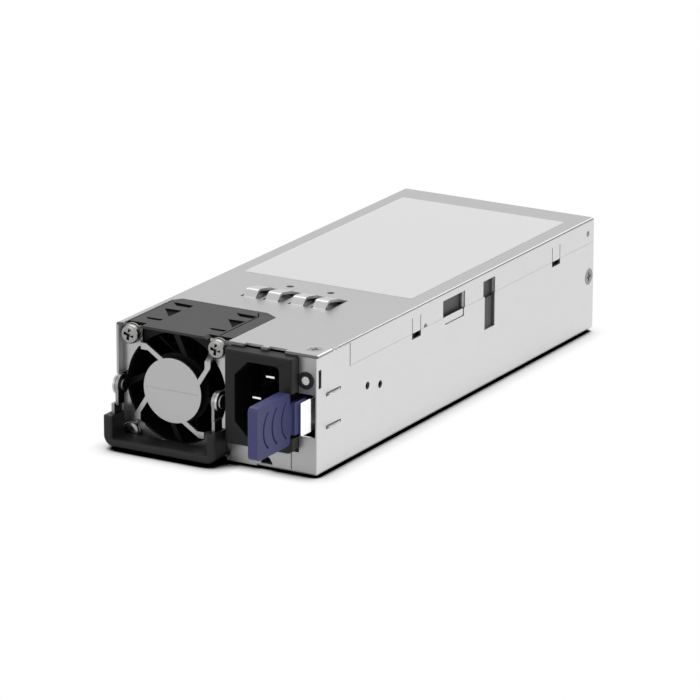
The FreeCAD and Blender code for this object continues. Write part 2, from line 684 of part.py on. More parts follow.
def reflected(feature, normal):
    mirror = doc.addObject("Part::Mirroring", "Mirror")
    mirror.Source = feature
    mirror.Normal = normal
    return mirror


def cover_screws():
    left = screw("X", "-sideFace", "caseLength - sideScrewIn", "sideScrewZ", "6", "1.3", "sideHead")
    right = reflected(left, FreeCAD.Vector(1, 0, 0))
    top = screw("Z", "topScrewX", "topScrewY", "-caseHeight", "5", "1.4", "topHead")
    node(group(left, right, reflected(top, FreeCAD.Vector(0, 0, 1))), "cover_screws")


# ---- Fan ----


def fan_shroud():
    """Black cap over the fan: a lip at the front, a raised field and recesses in two sets."""
    body = new_body("fan_shroud")
    front, rear, floor = "fanFront + lidGap", "shroudRear", "caseHeight - 0.7"
    pad(body, "XY", "trayTop", "caseHeight", [
        ("shroudLeft", front), ("shroudRight", front), ("shroudRight", rear + " - 3.1"),
        ("shroudRight - 5", rear), ("shroudLeft + 2.2", rear), ("shroudLeft", rear + " - 3")])
    pad(body, "XZ", "0.4", front + " + 0.1", [
        ("fanX - guardTab", "trayTop"), ("fanX + guardTab", "trayTop"), ("fanX + guardTab - 1.2", "caseHeight"),
        ("fanX - guardTab + 1.2", "caseHeight")])
    for x in ("shroudLeft + 3", "shroudRight - 12.1"):
        pocket(body, "XY", floor, "caseHeight + 0.1",
               [(x, "20.5"), (x + " + 6", "21"), (x + " + 5.8", "13.4")],
               [(x + " - 1.3", "27.7"), (x + " + 6.4", "27.4"), (x + " + 6.4", "24.8"),
                (x + " + 1.7", "24.7")],
               [(x + " - 0.2", "9.4"), (x + " + 6", "9.8"), (x + " + 5.9", "8.1"), (x + " + 1.6", "8")])
    groove = "shroudRight - 5.3"
    pocket(body, "XY", "caseHeight - 0.3", "caseHeight + 0.1", [
        (groove, "3.9"), (groove + " + 0.4", "3.9"), (groove + " + 0.4", rear + " - 5"),
        (groove + " - 1.6", rear + " - 1.6"), (groove + " - 2.1", rear + " - 1.6"), (groove, rear + " - 5.1")])


def fan_frame():
    body = new_body("fan_frame")
    half, cut_front, cut_rear = "fanSide / 2", "fanFront - 0.1", "fanRear + 0.1"
    pad(body, "XZ", "fanFront", "fanRear",
        rect("fanX - " + half, "fanZ - " + half, "fanX + " + half, "fanZ + " + half))
    edge, middle_x, middle_z = value_of(half), value_of("fanX"), value_of("fanZ")
    soften(body, "Fillet", "2.4", lambda e: is_line(e, "y") and near(abs(middle(e).x - middle_x), edge)
           and near(abs(middle(e).z - middle_z), edge))
    pocket(body, "XZ", cut_front, cut_rear, disc("fanX", "fanZ", "fanBore"))
    pocket(body, "XZ", cut_front, cut_rear,
           *[disc("fanX " + a + " fanPitch / 2", "fanZ " + b + " fanPitch / 2", "fanHole")
             for a in "+-" for b in "+-"])
    flange, waist = "4", "fanSide / 2 - 5"
    doc.recompute()
    sketch = sketch_on(body, "XZ", "fanFront + " + flange, "fanX", "fanZ")
    draw(sketch, [[(waist, half + " + 0.1"), (half + " + 0.1", half + " + 0.1"), (half + " + 0.1", waist)]])
    corner = extrude(body, "Pocket", sketch, "XZ", "fanFront + " + flange, "fanRear - " + flange)
    polar(body, [corner], sketch, "4")
    motor = sketch_on(body, "XZ", "fanFront", "fanX", "fanZ")
    draw(motor, [disc("0", "0", "motorRadius")])
    extrude(body, "Pad", motor, "XZ", "fanFront", "fanFront + 1.6")
    strut = sketch_on(body, "XZ", "fanFront", "fanX", "fanZ")
    draw(strut, [[("1.9", "motorRadius - 0.6"), ("3.9", "motorRadius - 1.2"), ("0.2", "fanBore + 0.2"),
                  ("-2", "fanBore + 0.2")]])
    arm = extrude(body, "Pad", strut, "XZ", "fanFront", "fanFront + 2.4")
    polar(body, [arm], strut, "4")
    pad(body, "XZ", "fanFront + 1.6", "fanFront + 15", disc("fanX", "fanZ", "fanTube"))
    pocket(body, "XZ", "fanFront + 0.8", "fanFront + 15.1", disc("fanX", "fanZ", "fanTube - 0.8"))


def fan_rotor():
    """A cup that turns round the stator, with bent blades that widen from root to tip."""
    body = new_body("fan_rotor")
    front = "guardFront + guardSheet + 2.4"
    rear = front + " + 23.6"
    hub = sketch_on(body, "XZ", front, "fanX", "fanZ")
    draw(hub, [disc("0", "0", "hubRadius")])
    extrude(body, "Pad", hub, "XZ", front, rear)
    sections = []
    for level, reach in (("hubRadius - 0.4", "0.8"), ("bladeReach", "1.1")):
        section = sketch_on(body, "XY", "fanZ + " + level, "fanX", front)
        draw(section, [blade_section(reach)])
        sections.append(section)
    blade = body.newObject("PartDesign::AdditiveLoft", "Blade")
    blade.Profile = sections[0]
    blade.Sections = sections[1:]
    blade.Ruled = True
    polar(body, [blade], hub, "bladeCount")
    pocket(body, "XZ", front + " - 0.1", rear + " - 1.6", disc("fanX", "fanZ", "hubRadius - 1"))
    pocket(body, "XZ", rear + " - 2.6", rear + " - 0.6", disc("fanX", "fanZ", "shaftRadius"))


def blade_section(reach):
    """A bent blade cut square to its radius, grown by a factor about the middle of its chord."""
    outline = (("3.6", "-7.4"), ("4.2", "-7.4"), ("1.1", "0"), ("-3.1", "7.6"), ("-3.7", "7.6"), ("0.4", "0"))
    return [(x + " * " + reach, "11.8 + " + y + " * " + reach) for x, y in outline]


def fan_motor():
    """Shaft, bearings and stator inside the rotor's hub."""
    front = "guardFront + guardSheet + 1"
    shaft = rod("Y", "shaftRadius", "fanX", front + " + 0.8", "fanZ", "23.6")
    node(group(shaft), "fan_shaft")
    bearings = []
    for start in (front + " + 1.4", front + " + 10.5"):
        outer = rod("Y", "fanTube - 0.82", "fanX", start, "fanZ", "3")
        bore = rod("Y", "shaftRadius + runGap", "fanX", start + " - 0.1", "fanZ", "3.2")
        bearings.append(cut(outer, bore))
    node(group(*bearings), "fan_bearings")
    core = rod("Y", "hubRadius - 2", "fanX", front + " + 2.6", "fanZ", "9")
    node(cut(core, rod("Y", "fanTube + 0.02", "fanX", front + " + 2.5", "fanZ", "9.2")), "fan_stator")


def fan_guard():
    """Sheet steel finger guard: corner plate, pivot ears, and a disc on four joggled arms."""
    body = new_body("fan_guard")
    front, rear = "guardFront", "guardFront + guardSheet"
    cut_front, cut_rear = front + " - 0.1", rear + " + 0.1"
    pad(body, "XZ", front, rear, rect("fanX - guardHalf", "fanZ - fanSide / 2", "fanX + guardHalf",
                                      "fanZ + fanSide / 2"))
    pocket(body, "XZ", cut_front, cut_rear, disc("fanX", "fanZ", "guardHole"))
    pocket(body, "XZ", cut_front, cut_rear,
           rect("fanX - guardTab", "fanZ + 10", "fanX + guardTab", "fanZ + fanSide / 2 + 0.1"))
    pocket(body, "XZ", cut_front, cut_rear,
           *[disc("fanX " + a + " fanPitch / 2", "fanZ " + b + " fanPitch / 2", "1.6")
             for a in "+-" for b in "+-"])
    for face in ("fanX + earFace - guardSheet", "fanX - earFace"):
        pad(body, "YZ", face, face + " + guardSheet",
            rect("pivotY", "pivotZ - eyeRadius", rear, "pivotZ + eyeRadius"))
        pad(body, "YZ", face, face + " + guardSheet", disc("pivotY", "pivotZ", "eyeRadius"))
        pocket(body, "YZ", face + " - 0.1", face + " + guardSheet + 0.1",
               disc("pivotY", "pivotZ", "rivetRadius + 0.02"))
    centre = sketch_on(body, "XZ", "0", "fanX", "fanZ")
    draw(centre, [disc("0", "0", "discRadius")])
    extrude(body, "Pad", centre, "XZ", "0", "guardSheet")
    low, high, bend = "armRise - guardArm / 2", "armRise + guardArm / 2", "guardHole - 7.1"
    swirl = sketch_on(body, "XZ", "0", "fanX", "fanZ")
    draw(swirl, [[("-2.6", "discRadius - 1"), ("1.6 - (" + bend + ")", high), ("-(" + bend + ")", high),
                  ("-(" + bend + ")", low), ("2.2 - (" + bend + ")", low), ("-4.6", "discRadius - 1.6")]])
    inner = extrude(body, "Pad", swirl, "XZ", "0", "guardSheet")
    step = sketch_on(body, "XY", "fanZ + " + low, "fanX - (" + bend + ")", "0")
    draw(step, [[("0.1", "0"), ("-0.3", "0"), ("-2.1", "guardFront"), ("-3.4", "guardFront"),
                 ("-3.4", "guardFront + guardSheet"), ("-1.7", "guardFront + guardSheet"),
                 ("0.1", "guardSheet")]])
    outer = extrude(body, "Pad", step, "XY", "0", "guardArm")
    polar(body, [inner, outer], swirl, "4")
    pocket(body, "XZ", "-0.1", "0.2", rect("fanX - 9.5", "fanZ - 0.15", "fanX + 9.5", "fanZ + 0.15"))


def fan_screws():
    """Pan head screws, each with a split lock washer and a flat washer."""
    screws, flats, splits = [], [], []
    for a in "-+":
        for b in "-+":
            x, z = "fanX " + a + " fanPitch / 2", "fanZ " + b + " fanPitch / 2"
            seat, split = "guardFront - washerThick", "guardFront - 2 * washerThick"
            top = split + " - 1.8"
            head = rod("Y", "screwHead", x, top, z, "1.8")
            shank = rod("Y", "1.5", x, split, z, "12")
            screws.append(cut(fuse(head, shank), *cross_recess("Y", x, top, z, "1.2 * screwHead", "0.9")))
            flats.append(cut(rod("Y", "washerRadius", x, seat, z, "washerThick"),
                             rod("Y", "1.6", x, seat + " - 0.1", z, "washerThick + 0.2")))
            gap = box(x + " + 1", split + " - 0.1", z, x + " + 3.4", seat + " + 0.1", z + " + 0.4")
            splits.append(cut(rod("Y", "screwHead - 0.2", x, split, z, "washerThick"),
                              rod("Y", "1.6", x, split + " - 0.1", z, "washerThick + 0.2"), gap))
    node(group(*screws), "fan_screws")
    node(group(*flats), "fan_flat_washers")
    node(group(*splits), "fan_lock_washers")


# ---- Pull handle ----


def strap_faces(sign, outer):
    """Left and right faces of a strap leg, from its outer face's distance to the fan axis."""
    if sign:
        return "fanX - (" + outer + ")", "fanX - (" + outer + ") + strapThick"
    return "fanX + " + outer + " - strapThick", "fanX + " + outer


def bail_strap():
    """Steel strap: round eyes on the pivots, a jog outward, and a bar that the grip is moulded on."""
    body = new_body("bail_strap")
    eye_out = "earFace - guardSheet - sideGap"
    low_out = eye_out + " + strapJog"
    foot = "gripLow + 0.8"
    front, rear = "pivotY - 4.25", "pivotY + 0.4"
    for sign in ("", "-"):
        faces = strap_faces(sign, eye_out)
        pad(body, "YZ", *faces, disc("pivotY", "pivotZ", "eyeRadius"))
        pad(body, "YZ", *faces, rect("pivotY - 3.1", "pivotZ - jogDrop", "pivotY + 0.7", "pivotZ"))
        pad(body, "YZ", *strap_faces(sign, low_out), rect(front, foot, rear, "pivotZ - jogDrop + 0.8"))
    pad(body, "XY", foot, foot + " + strapThick",
        rect("fanX - (" + low_out + ")", front, "fanX + " + low_out, rear))
    for sign in ("", "-"):
        faces = strap_faces(sign, eye_out)
        pocket(body, "YZ", faces[0] + " - 0.1", faces[1] + " + 0.1",
               disc("pivotY", "pivotZ", "rivetRadius + runGap"))


def bail_grip():
    """Moulded grip round the strap's bar, with large round outer corners."""
    body = new_body("bail_grip")
    left, right = "fanX - gripHalf", "fanX + gripHalf"
    pad(body, "XZ", "gripFront", "gripRear", [
        (left, "gripLow"), (right, "gripLow"), (right, "gripTop"), (right + " - gripLeg", "gripTop"),
        (right + " - gripLeg", "gripLow + gripBar"), (left + " + gripLeg", "gripLow + gripBar"),
        (left + " + gripLeg", "gripTop"), (left, "gripTop")])
    side, low, front = value_of("gripHalf"), value_of("gripLow"), value_of("gripFront")
    axis = value_of("fanX")
    soften(body, "Fillet", "3.6", lambda e: is_line(e, "y") and near(middle(e).z, low)
           and near(abs(middle(e).x - axis), side))
    soften(body, "Chamfer", "0.6", lambda e: near(middle(e).y, front) and not is_line(e, "y"))
    low_out = "earFace - guardSheet - sideGap + strapJog"
    for sign in ("", "-"):
        pocket(body, "YZ", *strap_faces(sign, low_out),
               rect("pivotY - 4.25", "gripLow + 0.8", "pivotY + 0.4", "gripTop + 0.1"))
    pocket(body, "XY", "gripLow + 0.8", "gripLow + 0.8 + strapThick",
           rect("fanX - (" + low_out + ") + 0.2", "pivotY - 4.25", "fanX + " + low_out + " - 0.2",
                "pivotY + 0.4"))


def bail_rivets():
    rivets = []
    for sign, name in ((1, "+"), (-1, "-")):
        outer = "earFace" if sign > 0 else "-earFace - 0.55"
        inner_face = "earFace - guardSheet - 2 * sideGap - strapThick"
        inner = inner_face + " - 0.6" if sign > 0 else "-(" + inner_face + ")"
        start = inner_face + " - 0.3" if sign > 0 else "-earFace - 0.3"
        head = rod("X", "rivetHead", "fanX + " + outer, "pivotY", "pivotZ", "0.55")
        tail = rod("X", "rivetHead - 0.3", "fanX + " + inner, "pivotY", "pivotZ", "0.6")
        shank = rod("X", "rivetRadius", "fanX + " + start, "pivotY", "pivotZ",
                    "guardSheet + 2 * sideGap + strapThick + 0.6")
        rivets.append(fuse(head, tail, shank))
    node(group(*rivets), "bail_rivets")


# ---- Power inlet ----


def socket_outline(grow):
    """The inlet socket's outline, turned so that its two chamfers face the fan."""
    half_x = "(socketWide / 2 + " + grow + ")"
    half_z = "(socketTall / 2 + " + grow + ")"
    left, right = "inletX - " + half_x, "inletX + " + half_x
    low, high = "inletZ - " + half_z, "inletZ + " + half_z
    return [
        (left + " + socketChamfer", low), (right, low), (right, high), (left + " + socketChamfer", high),
        (left, high + " - socketChamfer"), (left, low + " + socketChamfer")]


# Contact blades as (across, up, tip): earth, line and neutral.
BLADES = (("-earthShift", "0", "earthTip"), ("poleShift", "poleSpace", "poleTip"),
          ("poleShift", "-poleSpace", "poleTip"))


def inlet_body():
    """Inlet with its proud bezel, which is notched beside the latch."""
    body = new_body("inlet_body")
    face, notch = "-bezelProud", "bezelRight - 3.9"
    pad(body, "XZ", face, "bezelRear", [
        ("bezelLeft", "bezelLow"), ("bezelRight", "bezelLow"), ("bezelRight", "latchLow - 0.3"),
        (notch, "latchLow - 0.3"), (notch, "latchHigh + 0.3"), ("bezelRight", "latchHigh + 0.3"),
        ("bezelRight", "bezelTop"), ("bezelLeft", "bezelTop")])
    front, right, low = value_of("-bezelProud"), value_of("bezelRight"), value_of("bezelLow")
    soften(body, "Fillet", "2", lambda e: is_line(e, "y") and near(middle(e).x, right) and near(middle(e).z, low))
    outer = (value_of("bezelLeft"), right), (low, value_of("bezelTop"))
    soften(body, "Fillet", "bezelRound", lambda e: near(middle(e).y, front) and (
        any(near(middle(e).x, x) for x in outer[0]) or any(near(middle(e).z, z) for z in outer[1])))
    pad(body, "XZ", "-0.1", "inletRear", socket_outline("socketWall"))
    pocket(body, "XZ", face + " - 0.1", "socketFloor", socket_outline("0"))
    side = value_of("inletX + socketWide / 2")
    soften(body, "Fillet", "socketRound", lambda e: is_line(e, "y") and near(middle(e).x, side))
    pocket(body, "XZ", "socketFloor - 0.1", "inletRear + 0.1",
           *[rect("inletX + " + x + " - bladeWide / 2", "inletZ + " + z + " - bladeThick / 2",
                  "inletX + " + x + " + bladeWide / 2", "inletZ + " + z + " + bladeThick / 2")
             for x, z, tip in BLADES])


def blade_tip(x, y, z):
    """The tapered end of a contact blade, which grows to the full section over bladeTaper."""
    tip = doc.addObject("Part::Wedge", "Wedge")
    bind(tip, "Ymin", "0")
    bind(tip, "Ymax", "bladeTaper")
    for prop, width, share in (("X", "bladeWide", "0.85"), ("Z", "bladeThick", "0.45")):
        for end, sign in (("min", "-"), ("max", "")):
            bind(tip, prop + end, sign + width + " / 2 * " + share)
            bind(tip, prop + "2" + end, sign + width + " / 2")
    return put(tip, x, y, z)


def inlet_blades():
    blades = []
    for x, z, tip in BLADES:
        x, z = "inletX + " + x, "inletZ + " + z
        pin = box(x + " - bladeWide / 2", tip + " + bladeTaper", z + " - bladeThick / 2",
                  x + " + bladeWide / 2", "socketFloor + 3.4", z + " + bladeThick / 2")
        lug = box(x + " - bladeWide / 2", "socketFloor + 3.4", z + " - 0.4",
                  x + " + bladeWide / 2", "socketFloor + 10", z + " + 0.4")
        blades.append(fuse(blade_tip(x, tip, z), pin, lug))
    node(group(*blades), "inlet_blades")


# ---- Latch ----


def latch_spring():
    """Spring leaf along the wall: a wide front end, and a channel with two teeth through the wall."""
    body = new_body("latch_spring")
    skin, web = "sideInner - 0.1", "webFace - latchSheet"
    pad(body, "XY", "webLow", "webHigh", [
        ("webFace", "7"), ("webFace", "24"), (skin, "34"), (skin, "flexY - 0.2"),
        (skin + " - latchSheet", "flexY - 0.2"), (skin + " - latchSheet", "34.2"), (web, "24.2"), (web, "7")])
    pad(body, "XY", "padLow", "padHigh", rect(web, "webFront", "webFace", "8.4"))
    crest = "sideFace + toothProud"
    for low in ("webLow", "webHigh - latchSheet"):
        pad(body, "XY", low, low + " + latchSheet", [
            ("webFace - 0.1", "8.2"), ("sideInner - 2", "8.2"), ("sideInner - 1", "toothY - 1.6"),
            (crest + " - 0.8", "toothY - 1.6"), (crest, "toothY - 0.4"), (crest, "toothY"),
            ("sideFace + 0.2", "slitRear - 0.8"), ("sideInner - 1", "slitRear - 0.4"), ("sideInner - 1", "21"),
            ("webFace - 0.1", "24")])


def latch_tab():
    """Moulded thumb tab on the leaf: a gripped plate, a thinner neck and a base on the leaf."""
    body = new_body("latch_tab")
    pad(body, "YZ", "tabBack", "tabFace", rect("tabFront", "tabLow", "tabRear", "tabHigh"))
    low, high = value_of("tabLow"), value_of("tabHigh")
    soften(body, "Fillet", "1.6", lambda e: is_line(e, "x") and (near(middle(e).z, low)
           or near(middle(e).z, high)))
    root, clip = "webFace - latchSheet - 2.5", "webFace - latchSheet - 0.02"
    pad(body, "XY", "tabLow + 2.8", "tabHigh - 4.2", rect(root, "tabRear - 0.1", root + " + 0.9", "-2.3"))
    pad(body, "XY", "tabLow + 2.5", "tabHigh - 3.9", rect(root, "-2.4", root + " + 1.6", "5"))
    pad(body, "XY", "tabLow + 2.5", "tabHigh - 5.4", rect(root + " + 1.5", "0.2", clip, "5"))
    for middle_y in ("-21.1", "-15.9", "-10.2"):
        pocket(body, "YZ", "tabFace - 0.45", "tabFace + 0.1", bow(middle_y, "(tabLow + tabHigh) / 2"))


def latch_anchor():
    """The fixed end of the spring leaf, welded flat to the wall."""
    face = "sideInner - seat"
    node(group(box(face + " - latchSheet", "flexY + 0.2", "webLow", face, "flexY + 13", "webHigh")),
         "latch_anchor")


# ---- Indicator ----


def indicator():
    holder = fuse(rod("Y", "ledRing", "ledX", "-0.5", "ledZ", "0.5"),
                  rod("Y", "ledBarrel", "ledX", "-0.5", "ledZ", "6"))
    node(cut(holder, rod("Y", "ledLens + 0.03", "ledX", "-0.6", "ledZ", "7")), "led_holder")
    node(group(rod("Y", "ledLens", "ledX", "-0.35", "ledZ", "9.3")), "led_light_pipe")
    wall = "sideInner - 0.03"
    card = box(wall + " - board", "8", "ledZ - 3.6", wall, "18", "ledZ + 3.6")
    lamp = box("ledX - 1.2", "9", "ledZ - 1.2", wall + " - board", "11.4", "ledZ + 1.2")
    node(fuse(card, lamp), "led_board")


# ---- Electronics ----


def block(x, y, z, wide, long, tall):
    """A box from the middle of its underside."""
    return box(x + " - (" + wide + ") / 2", y + " - (" + long + ") / 2", z,
               x + " + (" + wide + ") / 2", y + " + (" + long + ") / 2", z + " + " + tall)


STANDOFFS = (("leftEdge + 9", "41.5"), ("boardHalf - 4", "64"), ("leftEdge + 4", "88"), ("boardHalf - 11", "114"),
             ("leftEdge + 3", "caseLength - 7"), ("boardHalf - 4", "caseLength - 7"))


def main_board():
    """The main board with its card edge, which reaches out through the rear panel."""
    body = new_body("main_board")
    rear, edge = "caseLength - sheet - 1.5", "caseLength + edgeReach"
    pad(body, "XY", "boardLow", "boardLow + board", [
        ("leftEdge", "boardFront"), ("boardHalf - 10", "boardFront"), ("boardHalf - 10", "60"),
        ("boardHalf", "60"), ("boardHalf", rear), ("edgeHalf", rear), ("edgeHalf", edge + " - 1"),
        ("edgeHalf - 1", edge), ("9.4", edge), ("9.4", edge + " - 6"), ("7.6", edge + " - 6"),
        ("7.6", edge), ("-edgeHalf + 1", edge), ("-edgeHalf", edge + " - 1"), ("-edgeHalf", rear),
        ("leftEdge", rear)])
    pocket(body, "XY", "boardLow - 0.1", "boardLow + board + 0.1",
           *[disc(x, y, "1.6") for x, y in STANDOFFS])


def gold_fingers():
    """Contacts on both faces of the card edge, in one row beside the key slot."""
    strips = []
    pitch = "(2 * edgeHalf - 3.2) / (fingerCount - 1)"
    for low in ("boardLow + board", "boardLow - 0.06"):
        for i in range(int(value_of("fingerCount"))):
            x = "-edgeHalf + 1.6 + " + str(i) + " * " + pitch
            if abs(value_of(x) - 8.5) > 2:
                strips.append(box(x + " - fingerWide / 2", "caseLength + edgeReach - 7.5", low,
                                  x + " + fingerWide / 2", "caseLength + edgeReach - 0.8", low + " + 0.06"))
    node(group(*strips), "gold_fingers")


def board_fixings():
    """Hexagon standoffs on the case's floor, and the screws in their ends."""
    posts, screws = [], []
    foot = "sheet + linerSheet + 2 * seat"
    for x, y in STANDOFFS:
        posts.append(hex_rod("2.8", x, y, foot, "boardLow - seat - (" + foot + ")"))
        screws.append(fuse(rod("Z", "2.7", x, y, "boardTop", "1.6"), rod("Z", "1.25", x, y, "boardLow", "2")))
    node(group(*posts), "board_standoffs")
    node(group(*screws), "board_screws")


def insulation_sheet():
    """Folded insulating liner under the main board and up both walls."""
    body = new_body("insulation_sheet")
    low, high = "sheet + 0.02", "lidUnder - 1.2"
    outer, inner = "linerHalf", "linerHalf - linerSheet"
    pad(body, "XZ", "flexY + 14", "caseLength - 10", u_profile([
        (outer, low), (outer, high), (inner, high), (inner, low + " + linerSheet")]))


def heatsink(name, x, front, rear, fins):
    """A finned plate that stands on the board."""
    parts = [box(x + " - 1", front, "boardTop", x + " + 1", rear, "caseHeight - 5")]
    for i in range(fins):
        y = front + " + " + str(i) + " * (" + rear + " - (" + front + ") - 1) / " + str(fins - 1)
        parts.append(box(x + " - 0.5", y, "18", x + " + 7", y + " + 1", "caseHeight - 5"))
    node(fuse(*parts), name)


def cylinders(name, radius, length, spots, axis="Z"):
    node(group(*[rod(axis, radius, x, y, z, length) for x, y, z in spots]), name)


def blocks(name, *specs):
    """Plain boxes on the board, from the middle of each one's underside."""
    node(group(*[block(x, y, "boardTop", wide, long, tall) for x, y, wide, long, tall in specs]), name)


def wound_core(name, x, y, wide, long, tall):
    """A ferrite frame with a middle post, and the winding round that post."""
    frame = block(x, y, "boardTop", wide, long, tall)
    window = block(x, y, "boardTop + 4", wide + " - 8", long + " + 1", tall + " - 8")
    post = block(x, y, "boardTop + 3.9", "8", long, tall + " - 7.8")
    node(fuse(cut(frame, window), post), name + "_core")
    coil = block(x, y, "boardTop + 4.2", wide + " - 8.4", long + " + 7", tall + " - 8.4")
    hole = block(x, y, "boardTop + 4", "8.3", long + " + 0.3", tall + " - 8")
    node(cut(coil, hole), name + "_winding")


def power_parts():
    lying = "boardLow + board + "
    cylinders("bulk_capacitors", "bulkRadius", "caseLength - 141", [
        (x, "bulkFront", lying + "bulkRadius + seat") for x in ("leftEdge + 11.5", "leftEdge + 37")], "Y")
    wound_core("main_transformer", "-2", "caseLength - 25", "2 * boardHalf - 36", "22", "caseHeight - 12")
    wound_core("pfc_choke", "boardHalf - 17", "77", "26", "20", "caseHeight - 13")
    ring = "leftEdge + 15"
    node(cut(rod("Y", "12", ring, "68", lying + "12.02", "12"),
             rod("Y", "5.5", ring, "67", lying + "12.02", "14")), "emi_choke")
    heatsink("secondary_heatsink", "leftEdge + 7", "caseLength - 37", "caseLength - 13", 5)
    heatsink("primary_heatsink", "boardHalf - 12", "118", "caseLength - 39", 6)
    node(group(*[block("boardHalf - 14.55", y, "12", "3", "9", "14") for y in ("123", "132", "141")]),
         "power_transistors")
    blocks("x_capacitors", ("leftEdge + 7", "50", "15", "9", "16"), ("leftEdge + 25", "50", "15", "9", "16"))
    cylinders("y_capacitors", "3.6", "3", [
        (x, "58", lying + "3.65") for x in ("leftEdge + 3", "leftEdge + 13")], "Y")
    cylinders("output_capacitors", "4", "16", [
        (x, y, "boardTop") for x in ("boardHalf - 15", "boardHalf - 6")
        for y in ("caseLength - 33", "caseLength - 24")])
    blocks("bridge_rectifier", ("boardHalf - 5", "100", "5", "22", "20"))
    node(group(rod("X", "2.6", "leftEdge + 37", "58", lying + "2.65", "14")), "fuse")
    blocks("relay", ("leftEdge + 39", "46", "10", "14", "15"))
    cylinders("inrush_thermistor", "6", "3.5", [("leftEdge + 29", "62", lying + "6.05")], "Y")
    blocks("control_board", ("boardHalf - 2.5", "132", "board", "24", "caseHeight - 17"))


def wiring():
    """Leads from the inlet to the main board, and the fan's lead with its plug."""
    leads = []
    start = "socketFloor + 10.05"
    for (x, z, tip), turn in zip(BLADES, ("43", "41", "44.5")):
        x, z = "inletX + " + x, "inletZ + " + z
        leads.append(fuse(rod("Y", "1.1", x, start, z, turn + " - (" + start + ")"),
                          rod("Z", "1.1", x, turn, "boardTop", z + " - (boardTop)")))
    node(group(*leads), "ac_leads")
    x = "leftEdge + 3"
    blocks("fan_connector", (x, "41.5", "6", "5", "6"))
    node(group(rod("Y", "0.9", x, "fanRear + 0.05", "boardLow + board + 3", "7.4")), "fan_lead")


# ---- Build, check and write ----

for build in (chassis_tray, top_cover, rear_panel, cover_screws, fan_shroud, fan_frame, fan_rotor, fan_motor,
              fan_guard, fan_screws, bail_strap, bail_grip, bail_rivets, inlet_body, inlet_blades,
              latch_spring, latch_tab, latch_anchor, indicator, main_board, gold_fingers, board_fixings,
              insulation_sheet, power_parts, wiring):
    build()
doc.recompute()

for feature in doc.Objects:
    if "Invalid" in feature.State or "Error" in feature.State:
        raise RuntimeError("%s (%s) did not build" % (feature.Name, feature.Label))
os.makedirs("parts", exist_ok=True)
for feature in nodes:
    shape = feature.Shape
    if shape.isNull() or not shape.isValid() or not shape.Solids:
        raise RuntimeError("%s has no valid solid" % feature.Label)
    shape.exportStep("parts/" + feature.Label + ".step")
    print(feature.Label, len(shape.Solids), round(shape.Volume, 1))
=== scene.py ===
import bpy
import bmesh
import json
import math
from mathutils import Matrix, Vector


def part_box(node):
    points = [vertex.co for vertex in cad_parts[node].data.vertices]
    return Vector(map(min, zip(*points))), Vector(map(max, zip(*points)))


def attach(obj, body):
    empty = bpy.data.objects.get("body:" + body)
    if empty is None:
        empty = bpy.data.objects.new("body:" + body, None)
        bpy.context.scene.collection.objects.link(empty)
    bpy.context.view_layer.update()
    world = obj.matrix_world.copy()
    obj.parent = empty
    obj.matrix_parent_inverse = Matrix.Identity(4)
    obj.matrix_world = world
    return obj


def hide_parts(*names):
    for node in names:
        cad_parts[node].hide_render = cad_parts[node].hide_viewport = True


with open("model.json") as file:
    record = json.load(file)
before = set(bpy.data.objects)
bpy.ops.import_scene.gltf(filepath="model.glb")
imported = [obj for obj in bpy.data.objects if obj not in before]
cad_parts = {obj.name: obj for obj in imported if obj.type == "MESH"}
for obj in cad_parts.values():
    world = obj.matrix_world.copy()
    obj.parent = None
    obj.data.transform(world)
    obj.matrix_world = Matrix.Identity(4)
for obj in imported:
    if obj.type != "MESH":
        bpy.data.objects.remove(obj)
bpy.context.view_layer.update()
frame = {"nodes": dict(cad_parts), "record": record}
nodes = frame["nodes"]
mm = 0.001
near = 0.02 * mm        # two places this close are one
weld = 0.002 * mm       # double points closer than this become one
flatAngle = 0.5         # degrees: flatter edges are dissolved
sharpAngle = 32         # degrees: edges above it stay sharp and are bevelled
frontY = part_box("chassis_tray")[0].y   # the case's front plane
print("frame loaded:", len(nodes), "nodes")

# camera, lamps and floor

shot = {
    "place": (0.81186, -1.41772, 0.51344),
    "azimuth": 29.949,
    "elevation": 17.098,
    "roll": 0.170,
    "lens": 267.94,
    "sensor": 36,
    "near": 0.05,
    "far": 30,
}

lampTable = {
    "overhead": {"place": (-0.15, 0.40, 1.15), "aim": (0, 0, 0.02), "size": 1.1, "watts": 8.6},
    "rightSide": {"place": (1.5, 0.1, 0.7), "aim": (0, 0, 0.02), "size": 1.0, "watts": 3.2},
    "frontFill": {"place": (-0.5, -1.4, 0.6), "aim": (0, -0.05, 0.02), "size": 0.9, "watts": 3.0},
}

studio = {
    "worldLight": 0.42,
    "floorTone": 0.93,
    "floorHalf": 3.0,
    "floorRough": 0.9,
    "floorGap": 0.9 * mm,      # thin dark line under the case's round edges
    "shadowReach": 7 * mm,
    "contact": (0.47, 0.60),   # share of open sky from black floor to plain floor: a painted contact shadow in the floor's own colour
    "fade": (0.55, 1.0),       # and from plain floor to the white background
}


def makeCamera():
    az, el = math.radians(shot["azimuth"]), math.radians(shot["elevation"])
    look = Vector((-math.sin(az) * math.cos(el), math.cos(az) * math.cos(el), -math.sin(el)))
    data = bpy.data.cameras.new("camera")
    data.lens = shot["lens"]
    data.sensor_width = shot["sensor"]
    data.clip_start = shot["near"]
    data.clip_end = shot["far"]
    camera = bpy.data.objects.new("camera", data)
    bpy.context.scene.collection.objects.link(camera)
    turn = look.to_track_quat("-Z", "Y").to_matrix().to_4x4()
    roll = Matrix.Rotation(math.radians(shot["roll"]), 4, "Z")
    camera.matrix_world = Matrix.Translation(shot["place"]) @ turn @ roll
    bpy.context.scene.camera = camera


